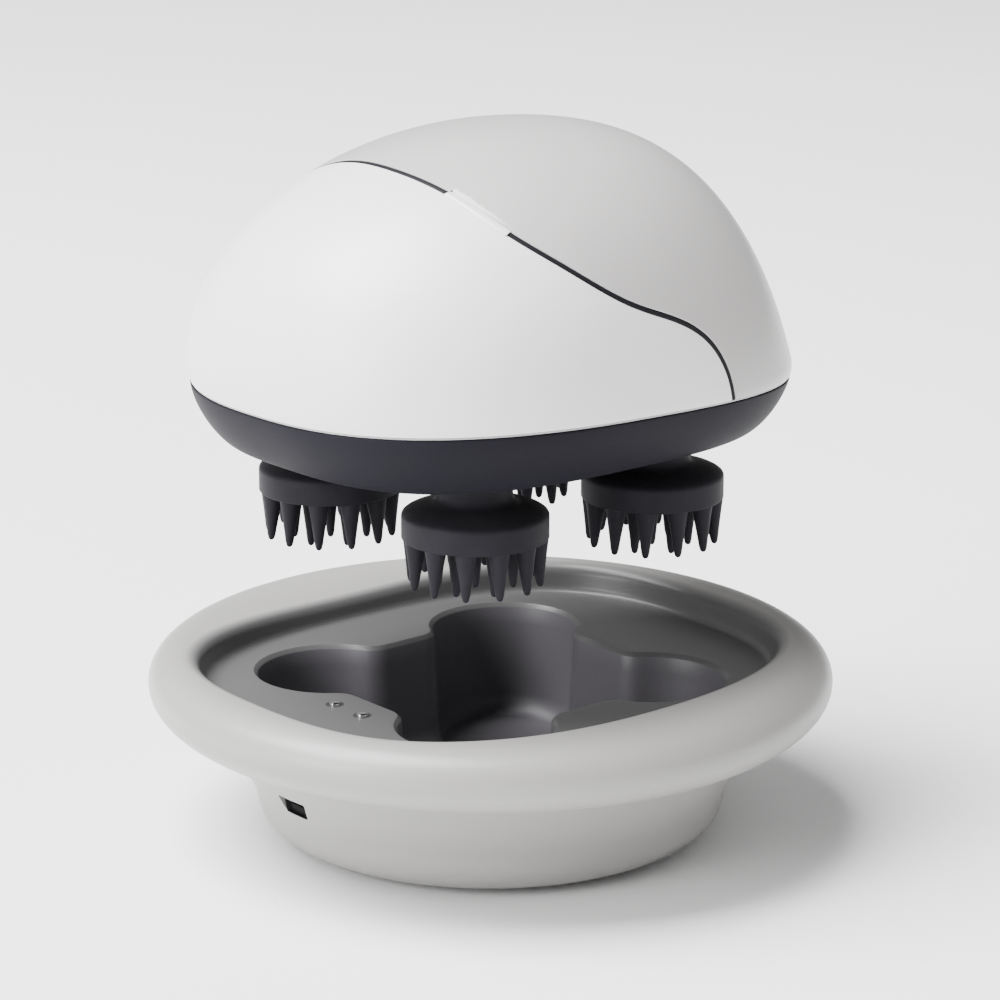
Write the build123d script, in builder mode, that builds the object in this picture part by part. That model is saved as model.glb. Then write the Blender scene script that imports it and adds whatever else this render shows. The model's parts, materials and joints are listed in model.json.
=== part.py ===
"""Electric scalp massager with four kneading heads, lifted off its round charging dock.

Millimetres, +Z up.  The origin is the middle of the dock's footprint, on the surface that it
stands on.  +X runs along the long axis of the oval body, towards its high rounded end, and
the charging contacts and the cable inlet are at the -X end.  At rest the massager hovers
level above the dock, straight over its recess.
"""
import os
from math import acos, atan2, cos, degrees, hypot, pi, radians, sin, sqrt, tan

from build123d import *

os.makedirs("parts", exist_ok=True)

# ---- Massager: where it hovers, and its overall form ----
head_plane = 71.5           # height of the heads' shoulders above the table, at rest
body_half_length = 57.6     # oval body at its parting line
body_half_width = 49.0
body_power = 2.45           # superellipse power of the oval: 2 is an ellipse
body_shift = 0.8            # the oval's centre, ahead of the middle of the four heads
shell_wall = 2.2            # wall of the dome's two shells
tray_wall = 2.2             # wall and floor of the dark base tray

tray_bottom = 8.5           # heights of the body are measured from the heads' shoulders
parting_height = 20.25      # widest line of the body, where tray and dome meet
parting_tilt = -1.4         # the parting line sinks this much towards the +X end
parting_arch = -1.63        # and this much towards both ends
tray_floor_length = 0.863   # the flat bottom, as a share of the oval at the rim
tray_floor_width = 0.831
tray_floor_power = 2.85
tray_round_side = 1.24      # powers of the tray's rounded flank
tray_round_bottom = 1.33

crown_height = 47.05        # dome above the widest line
crown_power = 1.95          # power of the oval near the top of the dome
crown_round_side = 2.31     # powers of the dome's flank and top
crown_round_top = 2.14
crown_lean_low = -11.2      # the dome leans to -X low down and to +X near its top
crown_lean_high = 15.6

seal_height = 0.5           # rubber seal between the tray and the dome
seal_setback = 0.7
lip_height = 1.5            # rib of the tray that stands inside the dome
lip_thickness = 1.2
lip_clearance = 0.4
lip_setback = 1.0           # more clearance at the +X end, where the dome reaches lower
lip_root = 5.2              # the lip starts inside the tray's wall, this far down

# ---- Seam across the dome, with its inlay and key ----
seam_tilt = atan2(0.6, 0.8)     # the seam is cut along a line that leans this far to -Y
seam_points = [
    (-24.8, 66.0),
    (-24.8, 50.9),
    (-26.2, 35.0),
    (-25.2, 21.3),
    (-22.0, 7.2),
    (-15.7, -2.5),
    (-5.0, -11.3),
    (6.8, -15.6),
    (14.5, -19.6),
    (18.2, -24.2),
    (19.2, -34.0),
]
inlay_width = 1.1
inlay_depth = 1.2
key_start = 3               # the key lies between these two points of the seam
key_end = 4
key_width = 1.7
key_gap = 0.15              # clearance round the key in its slot
key_proud = 0.25
key_travel = 0.5
key_flange_width = 3.6
key_flange_thickness = 1.1
key_stem_radius = 1.3
key_board_depth = 10.5      # top of the key's board under the dome's surface
key_guide_wall = 1.0
key_guide_margin = 1.1      # room round the key's flange inside its guide

# ---- Kneading heads ----
module_share = 46.0         # the body's half length, in modules, that the gears fill
sun_teeth = 28
output_teeth = 22
head_share = 0.44           # radius of a head, as a share of the ring that they stand on
head_band_top = -1.2        # heights from the shoulder plane
head_band_bottom = -4.5
head_neck_radius = 6.9
head_neck_top = 7.3
head_shoulder = [           # (share of the way from the neck out to the rim, height)
    (1.0, head_band_top),
    (0.912, 0.35),
    (0.642, 1.4),
    (0.263, 2.05),
    (0.044, 3.0),
    (0.0, 4.6),
]
hub_inset = 2.55            # silicone over the rim of each hub
hub_thickness = 2.4
hub_boss_radius = 5.0
outer_spikes = 12
outer_spike_tip = -13.6
inner_spikes = 6
inner_spike_ring = 7.0
inner_spike_tip = -14.3
spike_root_radius = 1.65
spike_tip_radius = 0.6
spike_phase = 12.0          # degrees that the rings of spikes are turned about each head

# ---- Gear train, motor and electronics ----
gear_face = 4.0
gear_bottom = 12.4
gear_backlash = 0.14
gear_addendum = 0.95        # in modules
gear_dedendum = 1.25
pressure_angle = 20.0
gear_hub_radius = 4.2
shaft_radius = 2.0
sun_shaft_radius = 3.0
running_fit = 0.05
bush_radius = 3.6
bush_flange_radius = 4.8
bush_flange = 0.8
shaft_seal_radius = 4.4
shaft_seal_height = 1.6
tray_boss_radius = 8.0
tray_boss_drop = 0.8
plate_bottom = 17.2
plate_thickness = 2.0
plate_clearance = 0.5       # gear plate to the tray's wall
plate_post_inset_x = 6.0    # posts under the plate, in from its edges
plate_post_inset_y = 4.0
plate_post_radius = 3.5
screw_radius = 1.25
screw_head_radius = 2.5
screw_head_height = 1.5
gearbox_radius = 12.2
gearbox_height = 11.0
motor_radius = 11.8
motor_height = 22.0
motor_terminal_height = 2.0
cell_radius = 7.1
cell_length = 50.0
cell_y = 24.5
cell_clearance = 2.4        # cell above the gear plate
board_thickness = 1.2
control_board_length = 50.0
control_board_width = 15.0
control_board_y = -25.5
control_board_standoff = 5.0

# ---- Charging contacts ----
contact_inset = 20.0        # contacts, in from the end of the bowl
contact_spacing = 8.5
pad_radius = 2.4
pad_thickness = 1.0
pin_radius = 1.1
pin_proud = 0.5
pin_travel = 0.5
pin_collar = 0.25           # collar that keeps each plunger in its barrel
pin_length = 5.5
barrel_radius = 1.8
barrel_length = 8.0
barrel_tail_radius = 0.4

# ---- Dock ----
brim_width = 11.6           # brim beyond the end of the bowl
brim_roll = 6.8             # from the brim's widest line in to its peak
brim_edge_height = 30.5     # height of the brim's widest line
brim_peak_height = 36.2
brim_fall = 0.13            # slope of the brim down towards the bowl
brim_overhang = 14.3        # brim beyond the top of the cup
rib_inset = 4.5             # rib that centres the cup, in from the cup's top
cup_top = 22.2
cup_wall = 1.4
cup_flare = 4.4             # the cup widens this much above its middle
cup_foot = 9.1              # and its floor ends this far inside its middle
cup_corner_width = 7.0      # rounded corner between the cup's wall and its floor
cup_corner_height = 6.5
cup_middle = 12.0           # height of that radius
foot_height = 1.0
foot_radius = 5.0
foot_inset = 10.5           # feet, in from the edge of the base plate
bowl_inset_length = 2.4     # the bowl's opening is this much smaller than the body
bowl_inset_width = 2.8
bowl_power = 2.85
bowl_draft = 1.4            # the bowl is this much smaller at its ledge, all round
bowl_edge_round = 2.6
ledge_height = 30.3
ledge_thickness = 1.6
recess_floor = 7.0
recess_wall = 1.3
recess_clearance = 0.95     # lobe of the recess round a head, at the ledge
recess_flat_length = 6.4    # flat sides of the recess, beyond the heads' axes
recess_flat_width = 4.4
recess_side_round = 5.0
recess_draft = 3.0          # degrees
recess_chamfer = 0.8
recess_bottom_round = 4.0
tub_clearance = 0.15        # tub of the recess, inside the cup
rib_drop = 2.0              # rib of the bowl that centres the cup
rib_thickness = 1.3
base_thickness = 2.0
base_flange = 1.0           # thickness of the base plate's edge, under the cup's ring
base_gap = 0.5              # base plate's edge to the end of the cup's floor
base_seat = 4.0             # width of that ring
base_screw_offset = 13.0
base_boss_radius = 3.2
usb_height = 13.6           # middle of the cable inlet above the table
usb_inset = 0.7             # its mouth, inside the cup's middle radius
usb_top_width = 7.4
usb_bottom_width = 5.4
usb_body_height = 2.7
usb_depth = 5.6
usb_wall = 0.35
usb_margin = 0.6            # room between the inlet and the opening in the cup
dock_board_length = 14.0
dock_board_width = 15.0
dock_board_setback = 3.2    # board behind the inlet's mouth
dock_post_inset = 3.7
dock_post_y = 5.7
dock_post_radius = 1.7

OVAL_POINTS = 32
FAR = 130.0                 # longer than any piece, for cutting tools

# ---- Sizes that follow from the ones above ----
gear_module = round(body_half_length / module_share, 2)
head_ring = gear_module * (sun_teeth + output_teeth) / 2
head_offset = head_ring / sqrt(2)
head_radius = head_share * head_ring
hub_radius = head_radius - hub_inset
plate_half_length = body_half_length * tray_floor_length - tray_wall - plate_clearance
plate_half_width = body_half_width * tray_floor_width - tray_wall - plate_clearance
plate_post_x = plate_half_length - plate_post_inset_x
plate_post_y = plate_half_width - plate_post_inset_y
bowl_half_length = body_half_length - bowl_inset_length
bowl_half_width = body_half_width - bowl_inset_width
brim_radius = bowl_half_length + brim_width
brim_peak_radius = brim_radius - brim_roll
cup_top_radius = brim_radius - brim_overhang
brim_under_radius = cup_top_radius - rib_inset
cup_middle_radius = cup_top_radius - cup_flare
cup_floor_radius = cup_middle_radius - cup_foot
base_radius = cup_floor_radius - base_gap
foot_ring = base_radius - foot_inset
usb_face = cup_middle_radius - usb_inset
dock_board_end = usb_face - dock_board_setback
dock_post_x = -(dock_board_end - dock_post_inset)
contact_x = -(bowl_half_length - contact_inset)
recess_lobe_radius = head_radius + recess_clearance
recess_half_length = head_offset + recess_flat_length
recess_half_width = head_offset + recess_flat_width
head_places = {
    "front": (-head_offset, -head_offset),
    "left": (-head_offset, head_offset),
    "right": (head_offset, -head_offset),
    "rear": (head_offset, head_offset),
}
head_xy = list(head_places.values())
tray_height = parting_height - tray_bottom
tray_floor_top = tray_bottom + tray_wall
plate_top = plate_bottom + plate_thickness
bush_top = gear_bottom - running_fit - 0.5
contact_xy = [(contact_x, contact_spacing / 2), (contact_x, -contact_spacing / 2)]
dock_board_top = usb_height - usb_body_height / 2
dock_board_bottom = dock_board_top - board_thickness
dock_post_xy = [(dock_post_x, dock_post_y), (dock_post_x, -dock_post_y)]
seam_direction = Vector(0, -sin(seam_tilt), cos(seam_tilt))


def level(height):
    """A horizontal plane at a height above the heads' shoulders."""
    return Plane.XY.offset(head_plane + height)


def save(piece, name):
    """Label a finished piece and write its file."""
    piece.label = name
    export_step(piece, f"parts/{name}.step")


# ---------------------------------------------------------------------------------------
# Oval forms
# ---------------------------------------------------------------------------------------
def oval_points(half_length, half_width, power, centre_x=0.0):
    """Points of a superellipse, evenly spread by angle."""
    points = []
    for i in range(OVAL_POINTS):
        angle = 2 * pi * i / OVAL_POINTS
        c, s = cos(angle), sin(angle)
        reach = (abs(c / half_length) ** power + abs(s / half_width) ** power) ** (-1 / power)
        points.append((centre_x + reach * c, reach * s))
    return points


def oval(plane, half_length, half_width, power, centre_x=0.0):
    """A filled superellipse on a plane."""
    with BuildSketch(plane) as sketch:
        with BuildLine():
            Spline(*oval_points(half_length, half_width, power, centre_x), periodic=True)
        make_face()
    return sketch.sketch


def crown_form(inset, layers=9):
    """The dome as a solid, with every size less the inset."""
    half_length = body_half_length - inset
    half_width = body_half_width - inset
    height = crown_height - inset
    sections = []
    for k in range(layers):
        turn = pi / 2 * k / layers
        rise = sin(turn) ** (2 / crown_round_top)
        spread = cos(turn) ** (2 / crown_round_side)
        power = body_power + (crown_power - body_power) * rise
        lean = body_shift + crown_lean_low * rise + crown_lean_high * rise**2
        plane = level(parting_height + height * rise)
        sections.append(oval(plane, half_length * spread, half_width * spread, power, lean))
    tip_x = body_shift + crown_lean_low + crown_lean_high
    sections.append(Vertex(tip_x, 0, head_plane + parting_height + height))
    with BuildPart() as form:
        loft(sections=sections)
    return form.part


def tray_form(inset, bottom, layers=7):
    """The tray as a solid, with its plan sizes less the inset."""
    sections = []
    for k in range(layers + 1):
        turn = pi / 2 * k / layers
        drop = sin(turn) ** (2 / tray_round_bottom)
        round_off = cos(turn) ** (2 / tray_round_side) if k < layers else 0.0
        spread_x = tray_floor_length + (1 - tray_floor_length) * round_off
        spread_y = tray_floor_width + (1 - tray_floor_width) * round_off
        power = body_power + (tray_floor_power - body_power) * drop
        plane = level(parting_height - (parting_height - bottom) * drop)
        sections.append(
            oval(
                plane,
                body_half_length * spread_x - inset,
                body_half_width * spread_y - inset,
                power,
                body_shift,
            )
        )
    with BuildPart() as form:
        loft(sections=sections)
    return form.part


def body_form(inset):
    """Dome and tray together as one solid, with every size less the inset."""
    return crown_form(inset) + tray_form(inset, tray_bottom + inset)


def above_parting(gap):
    """The space over the arched parting surface, which is first moved up by a gap."""
    arch = []
    for share in (-1.2, -0.6, 0.0, 0.6, 1.2):
        sink = parting_tilt * share + parting_arch * share**2
        arch.append((share * body_half_length, head_plane + parting_height + gap + sink))
    with BuildPart() as space:
        with BuildSketch(Plane.XZ):
            with BuildLine():
                line = Spline(*arch)
                Polyline(
                    line @ 1,
                    (arch[-1][0], head_plane + FAR),
                    (arch[0][0], head_plane + FAR),
                    line @ 0,
                )
            make_face()
        extrude(amount=FAR, both=True)
    return space.part


body_outside = body_form(0.0)
over_seal = above_parting(seal_height / 2)
under_seal = above_parting(-seal_height / 2)

# ---------------------------------------------------------------------------------------
# Dome: two shells that meet at the curved seam
# ---------------------------------------------------------------------------------------
seam_plane = Plane(
    origin=(0, 0, head_plane),
    x_dir=(1, 0, 0),
    z_dir=seam_direction,
)
with BuildLine() as seam_path:
    Spline(*seam_points)
seam_edge = seam_path.edges()[0]


def seam_position(index):
    """How far along the seam one of its points lies, as a share of its length."""
    x, y = seam_points[index]
    return seam_edge.param_at_point(Vector(x, y, 0))


def seam_band(width, start, end):
    """A curtain along part of the seam, as wide as asked and right through the dome."""
    with BuildPart() as band:
        with BuildSketch(seam_plane):
            trace(seam_edge.trim(start, end), line_width=width)
        extrude(amount=FAR, both=True)
    return band.part


with BuildPart() as front_region:
    with BuildSketch(seam_plane):
        with BuildLine():
            seam_line = Spline(*seam_points)
            Polyline(
                seam_line @ 1,
                (seam_points[-1][0], -FAR),
                (-FAR, -FAR),
                (-FAR, seam_points[0][1]),
                seam_line @ 0,
            )
        make_face()
    extrude(amount=FAR, both=True)

crown_outer = crown_form(0.0)
crown_inner = crown_form(shell_wall)
dome_wall = (body_outside - body_form(shell_wall)) & over_seal
dome_skin = (body_outside - body_form(inlay_depth)) & over_seal

key_from = seam_position(key_start)
key_to = seam_position(key_end)
key_local = seam_edge @ ((key_from + key_to) / 2)
key_heading = seam_edge @ key_to - seam_edge @ key_from
key_length = key_heading.length
key_angle = degrees(atan2(key_heading.Y, key_heading.X))
end_gap = key_gap / seam_edge.length
inlay_groove_rear = dome_skin & seam_band(inlay_width, 0.0, key_from - end_gap)
inlay_groove_front = dome_skin & seam_band(inlay_width, key_to + end_gap, 1.0)
key_slot = seam_band(key_width + 2 * key_gap, key_from - end_gap, key_to + end_gap)
grooved_dome = dome_wall - inlay_groove_rear - inlay_groove_front - key_slot

with BuildPart() as front_shell:
    add(grooved_dome)
    add(front_region.part, mode=Mode.INTERSECT)
save(front_shell.part, "front_shell")

with BuildPart() as rear_shell:
    add(grooved_dome)
    add(front_region.part, mode=Mode.SUBTRACT)
save(rear_shell.part, "rear_shell")

with BuildPart() as seam_inlay_rear:
    add(inlay_groove_rear)
save(seam_inlay_rear.part, "seam_inlay_rear")

with BuildPart() as seam_inlay_front:
    add(inlay_groove_front)
save(seam_inlay_front.part, "seam_inlay_front")

# ---- The key in the seam, its guide, board, switch and lamp ----
# Distances along the key's travel are measured from the plane that the seam is drawn on.
key_line = Axis(seam_plane.from_local_coords(key_local), seam_direction)
key_hits = [point for point, normal in crown_outer.find_intersection_points(key_line)]
key_top = max(seam_plane.to_local_coords(point).Z for point in key_hits)
key_board_top = key_top - key_board_depth


def key_block(plane_z, size_x, size_y, shift=0.0):
    """A rectangle in line with the key, on a plane square to its travel."""
    with BuildSketch(seam_plane.offset(plane_z)) as sketch:
        with Locations(
            Location(
                (
                    key_local.X + shift * cos(radians(key_angle)),
                    key_local.Y + shift * sin(radians(key_angle)),
                ),
                key_angle,
            )
        ):
            Rectangle(size_x, size_y)
    return sketch.sketch


key_bar_form = (crown_form(-key_proud) - crown_form(shell_wall + key_travel)) & seam_band(
    key_width, key_from, key_to
)
flange_top = shell_wall + 0.1
key_flange_form = (
    crown_form(flange_top) - crown_form(flange_top + key_flange_thickness)
) & seam_band(key_flange_width, key_from, key_to)
switch_height = 1.6
actuator_height = 0.5
stem_bottom = key_board_top + switch_height + actuator_height + key_travel + 0.1

with BuildPart() as power_button:
    add(key_bar_form)
    add(key_flange_form)
    with BuildSketch(seam_plane.offset(stem_bottom)):
        with Locations((key_local.X, key_local.Y)):
            Circle(key_stem_radius)
    extrude(amount=key_top - shell_wall - key_flange_thickness - stem_bottom)
save(power_button.part, "power_button")

guide_length = key_length + 2 * (key_guide_margin + key_guide_wall)
guide_width = key_flange_width + 2 * (key_guide_margin + key_guide_wall)
with BuildPart() as key_guide:
    extrude(key_block(key_board_top, guide_length, guide_width), amount=key_board_depth + 6)
    extrude(
        key_block(
            key_board_top, guide_length - 2 * key_guide_wall, guide_width - 2 * key_guide_wall
        ),
        amount=key_board_depth + 6,
        mode=Mode.SUBTRACT,
    )
    add(crown_inner, mode=Mode.INTERSECT)
save(key_guide.part, "key_guide")

with BuildPart() as button_board:
    extrude(
        key_block(key_board_top - board_thickness, guide_length, guide_width),
        amount=board_thickness,
    )
save(button_board.part, "button_board")

with BuildPart() as tact_switch:
    extrude(key_block(key_board_top, 4.5, 4.5), amount=switch_height)
    fillet(tact_switch.edges().filter_by(Axis((0, 0, 0), seam_direction)), 0.5)
    with BuildSketch(seam_plane.offset(key_board_top + switch_height)):
        with Locations((key_local.X, key_local.Y)):
            Circle(1.1)
    extrude(amount=actuator_height)
save(tact_switch.part, "tact_switch")

with BuildPart() as status_led:
    extrude(key_block(key_board_top, 2.0, 1.25, shift=5.0), amount=0.8)
save(status_led.part, "status_led")

# ---------------------------------------------------------------------------------------
# Base tray, seal and charging pads
# ---------------------------------------------------------------------------------------
lip_inset = tray_wall + lip_clearance
with BuildPart() as lip:
    for inset, mode in ((lip_inset, Mode.ADD), (lip_inset + lip_thickness, Mode.SUBTRACT)):
        extrude(
            oval(
                level(parting_height - lip_root),
                body_half_length - inset - lip_setback / 2,
                body_half_width - inset,
                body_power,
                body_shift - lip_setback / 2,
            ),
            amount=lip_root + 2 * lip_height,
            mode=mode,
        )
with BuildPart() as base_tray:
    add(body_outside - under_seal)
    add(body_form(tray_wall), mode=Mode.SUBTRACT)
    # The lip that the dome drops over rises out of the tray's wall.
    add(lip.part - above_parting(lip_height))
    # Bosses round the four output shafts, inside and below the floor.
    with BuildSketch(level(tray_bottom - tray_boss_drop)):
        with Locations(*head_xy):
            Circle(tray_boss_radius)
    extrude(amount=tray_boss_drop + tray_wall)
    with BuildSketch(level(tray_floor_top)):
        with Locations(*head_xy):
            Circle(bush_flange_radius + 0.8)
    extrude(amount=bush_top - bush_flange - tray_floor_top)
    # Posts for the gear plate, and the thrust boss under the drive shaft.
    with BuildSketch(level(tray_floor_top - 0.5)):
        with Locations((plate_post_x, 0), (-plate_post_x, 0), (0, plate_post_y), (0, -plate_post_y)):
            Circle(plate_post_radius)
    extrude(amount=plate_bottom - tray_floor_top + 0.5)
    with BuildSketch(level(tray_floor_top)):
        Circle(sun_shaft_radius + 2)
    extrude(amount=0.6)
    with BuildSketch(level(plate_bottom)):
        with Locations((plate_post_x, 0), (-plate_post_x, 0), (0, plate_post_y), (0, -plate_post_y)):
            Circle(screw_radius)
    extrude(amount=-5, mode=Mode.SUBTRACT)
    # Bores for the bushes, seats for the shaft seals, seats for the charging pads.
    with BuildSketch(level(tray_bottom - tray_boss_drop)):
        with Locations(*head_xy):
            Circle(shaft_seal_radius)
    extrude(amount=shaft_seal_height, mode=Mode.SUBTRACT)
    with BuildSketch(level(tray_bottom - tray_boss_drop)):
        with Locations(*head_xy):
            Circle(bush_radius)
    extrude(amount=10, mode=Mode.SUBTRACT)
    with BuildSketch(level(tray_bottom)):
        with Locations(*contact_xy):
            Circle(pad_radius)
    extrude(amount=pad_thickness, mode=Mode.SUBTRACT)
save(base_tray.part, "base_tray")

with BuildPart() as tray_seal:
    add(((body_form(seal_setback) - body_form(tray_wall)) & under_seal) - over_seal)
save(tray_seal.part, "tray_seal")

with BuildPart() as contact_pads:
    with BuildSketch(level(tray_bottom)):
        with Locations(*contact_xy):
            Circle(pad_radius)
    extrude(amount=pad_thickness)
save(contact_pads.part, "contact_pads")

# ---------------------------------------------------------------------------------------
# Gear train
# ---------------------------------------------------------------------------------------
def involute_angle(base_radius, radius):
    """How far an involute has turned by the time it reaches a radius."""
    slope = acos(base_radius / radius)
    return tan(slope) - slope


def gear_points(teeth, phase, centre_x=0.0, centre_y=0.0):
    """Outline of a spur gear, with one tooth centred on the phase angle."""
    pitch_radius = gear_module * teeth / 2
    base_radius = pitch_radius * cos(radians(pressure_angle))
    tip_radius = pitch_radius + gear_addendum * gear_module
    root_radius = pitch_radius - gear_dedendum * gear_module
    tooth_width = pi * gear_module / 2 - gear_backlash
    half_tooth = tooth_width / 2 / pitch_radius + involute_angle(base_radius, pitch_radius)
    flank = []
    for radius in (base_radius, (base_radius + tip_radius) / 2, tip_radius):
        flank.append((radius, half_tooth - involute_angle(base_radius, radius)))
    flank.insert(0, (root_radius, half_tooth))
    points = []
    for tooth in range(teeth):
        centre = radians(phase) + 2 * pi * tooth / teeth
        rising = [(radius, centre - half) for radius, half in flank]
        falling = [(radius, centre + half) for radius, half in reversed(flank)]
        points += [(centre_x + r * cos(a), centre_y + r * sin(a)) for r, a in rising + falling]
    return points


output_shaft_top = plate_top + 0.8
output_shaft_bottom = head_band_bottom + 2.4
for side, (x, y) in head_places.items():
    outward = degrees(atan2(y, x))
    with BuildPart() as output_gear:
        with BuildSketch(level(gear_bottom)):
            with BuildLine():
                Polyline(*gear_points(output_teeth, outward + 180, x, y), close=True)
            make_face()
            with Locations((x, y)):
                Circle(shaft_radius, mode=Mode.SUBTRACT)
        extrude(amount=gear_face)
        with BuildSketch(level(bush_top + running_fit)):
            with Locations((x, y)):
                Circle(gear_hub_radius)
                Circle(shaft_radius, mode=Mode.SUBTRACT)
        extrude(amount=gear_bottom - bush_top - running_fit)
    save(output_gear.part, f"output_gear_{side}")

    with BuildPart() as output_shaft:
        with BuildSketch(level(output_shaft_bottom)):
            with Locations((x, y)):
                Circle(shaft_radius)
        extrude(amount=output_shaft_top - output_shaft_bottom)
        chamfer(output_shaft.faces().sort_by(Axis.Z)[-1].edges(), 0.3)
    save(output_shaft.part, f"output_shaft_{side}")

    with BuildPart() as head_hub:
        with BuildSketch(level(output_shaft_bottom - 0.8)):
            with Locations((x, y)):
                Circle(hub_radius)
        extrude(amount=hub_thickness)
        with BuildSketch(level(output_shaft_bottom - 0.8 + hub_thickness)):
            with Locations((x, y)):
                Circle(hub_boss_radius)
        extrude(amount=head_neck_top - output_shaft_bottom + 0.8 - hub_thickness)
        with BuildSketch(level(output_shaft_bottom)):
            with Locations((x, y)):
                Circle(shaft_radius)
        extrude(amount=10, mode=Mode.SUBTRACT)
    save(head_hub.part, f"head_hub_{side}")

    hub_bottom = output_shaft_bottom - 0.8
    hub_top = hub_bottom + hub_thickness
    with BuildPart() as head_cap:
        with BuildSketch(Plane(origin=(x, y, head_plane), x_dir=(1, 0, 0), z_dir=(0, -1, 0))):
            with BuildLine():
                Polyline(
                    (0, head_band_bottom),
                    (head_radius, head_band_bottom),
                    (head_radius, head_band_top),
                )
                shoulder = Spline(
                    *[
                        (head_neck_radius + share * (head_radius - head_neck_radius), height)
                        for share, height in head_shoulder
                    ],
                    tangents=[(0, 1), (0, 1)],
                )
                Polyline(
                    shoulder @ 1,
                    (head_neck_radius, head_neck_top),
                    (hub_boss_radius, head_neck_top),
                    (hub_boss_radius, hub_top),
                    (hub_radius, hub_top),
                    (hub_radius, hub_bottom),
                    (0, hub_bottom),
                    (0, head_band_bottom),
                )
            make_face()
        revolve(axis=Axis((x, y, 0), (0, 0, 1)))
        outer_ring = head_radius - spike_root_radius - 0.02
        for ring, count, tip, phase in (
            (outer_ring, outer_spikes, outer_spike_tip, spike_phase),
            (inner_spike_ring, inner_spikes, inner_spike_tip, spike_phase + 8),
            (0, 1, inner_spike_tip, 0),
        ):
            length = head_band_bottom + 0.2 - tip
            for k in range(count):
                angle = radians(phase + 360 * k / count)
                place = (x + ring * cos(angle), y + ring * sin(angle), head_plane + tip + length / 2)
                with Locations(place):
                    Cone(spike_tip_radius, spike_root_radius, length)
    save(head_cap.part, f"head_cap_{side}")

with BuildPart() as sun_gear:
    with BuildSketch(level(gear_bottom)):
        with BuildLine():
            Polyline(*gear_points(sun_teeth, 0), close=True)
        make_face()
        Circle(sun_shaft_radius, mode=Mode.SUBTRACT)
        with PolarLocations(sun_teeth * gear_module / 4 + 1.5, 4):
            Circle(3.4, mode=Mode.SUBTRACT)
    extrude(amount=gear_face)
save(sun_gear.part, "sun_gear")

drive_shaft_bottom = tray_floor_top + 0.7
with BuildPart() as drive_shaft:
    with BuildSketch(level(drive_shaft_bottom)):
        Circle(sun_shaft_radius)
    extrude(amount=plate_top + 2 - drive_shaft_bottom)
save(drive_shaft.part, "drive_shaft")

with BuildPart() as lower_bushes:
    with BuildSketch(level(tray_bottom - tray_boss_drop + shaft_seal_height)):
        with Locations(*head_xy):
            Circle(bush_radius)
    extrude(amount=bush_top - tray_bottom + tray_boss_drop - shaft_seal_height)
    with BuildSketch(level(bush_top - bush_flange)):
        with Locations(*head_xy):
            Circle(bush_flange_radius)
    extrude(amount=bush_flange)
    with BuildSketch(level(0)):
        with Locations(*head_xy):
            Circle(shaft_radius + running_fit)
    extrude(amount=30, mode=Mode.SUBTRACT)
save(lower_bushes.part, "lower_bushes")

with BuildPart() as shaft_seals:
    with BuildSketch(level(tray_bottom - tray_boss_drop)):
        with Locations(*head_xy):
            Circle(shaft_seal_radius)
            Circle(shaft_radius + 2 * running_fit, mode=Mode.SUBTRACT)
    extrude(amount=shaft_seal_height)
save(shaft_seals.part, "shaft_seals")

with BuildPart() as upper_bushes:
    with BuildSketch(level(plate_bottom - bush_flange)):
        with Locations(*head_xy):
            Circle(bush_flange_radius)
    extrude(amount=bush_flange)
    with BuildSketch(level(plate_bottom)):
        with Locations(*head_xy):
            Circle(bush_radius)
    extrude(amount=plate_thickness)
    with BuildSketch(level(plate_bottom - 3)):
        with Locations(*head_xy):
            Circle(shaft_radius + running_fit)
    extrude(amount=10, mode=Mode.SUBTRACT)
save(upper_bushes.part, "upper_bushes")

plate_post_xy = [(plate_post_x, 0), (-plate_post_x, 0), (0, plate_post_y), (0, -plate_post_y)]
gearbox_screw_ring = 9.0
gearbox_nose_radius = 5.5
board_post_x = 12.0
with BuildPart() as gear_plate:
    with BuildSketch(level(plate_bottom)):
        add(oval(Plane.XY, plate_half_length, plate_half_width, body_power))
        with Locations(*head_xy):
            Circle(bush_radius, mode=Mode.SUBTRACT)
        with Locations(*plate_post_xy):
            Circle(screw_radius, mode=Mode.SUBTRACT)
        Circle(gearbox_nose_radius, mode=Mode.SUBTRACT)
        with PolarLocations(gearbox_screw_ring, 2):
            Circle(screw_radius, mode=Mode.SUBTRACT)
    extrude(amount=plate_thickness)
    with BuildSketch(level(plate_top)):
        with Locations((board_post_x, control_board_y), (-board_post_x, control_board_y)):
            Circle(2.4)
            Circle(1.0, mode=Mode.SUBTRACT)
    extrude(amount=control_board_standoff)
save(gear_plate.part, "gear_plate")

with BuildPart() as plate_screws:
    with BuildSketch(level(plate_bottom - 4.5)):
        with Locations(*plate_post_xy):
            Circle(screw_radius)
    extrude(amount=4.5 + plate_thickness)
    with BuildSketch(level(plate_top)):
        with Locations(*plate_post_xy):
            Circle(screw_head_radius)
    extrude(amount=screw_head_height)
save(plate_screws.part, "plate_screws")

# ---------------------------------------------------------------------------------------
# Motor, cell and control board
# ---------------------------------------------------------------------------------------
with BuildPart() as reduction_gearbox:
    with BuildSketch(level(plate_top)):
        Circle(gearbox_radius)
    extrude(amount=gearbox_height)
    with BuildSketch(level(plate_bottom)):
        Circle(gearbox_nose_radius)
    extrude(amount=plate_thickness)
    with BuildSketch(level(plate_bottom)):
        Circle(sun_shaft_radius + running_fit)
    extrude(amount=plate_thickness + 2.1, mode=Mode.SUBTRACT)
    with BuildSketch(level(plate_top)):
        with PolarLocations(gearbox_screw_ring, 2):
            Circle(screw_radius)
    extrude(amount=3, mode=Mode.SUBTRACT)
save(reduction_gearbox.part, "reduction_gearbox")

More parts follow.
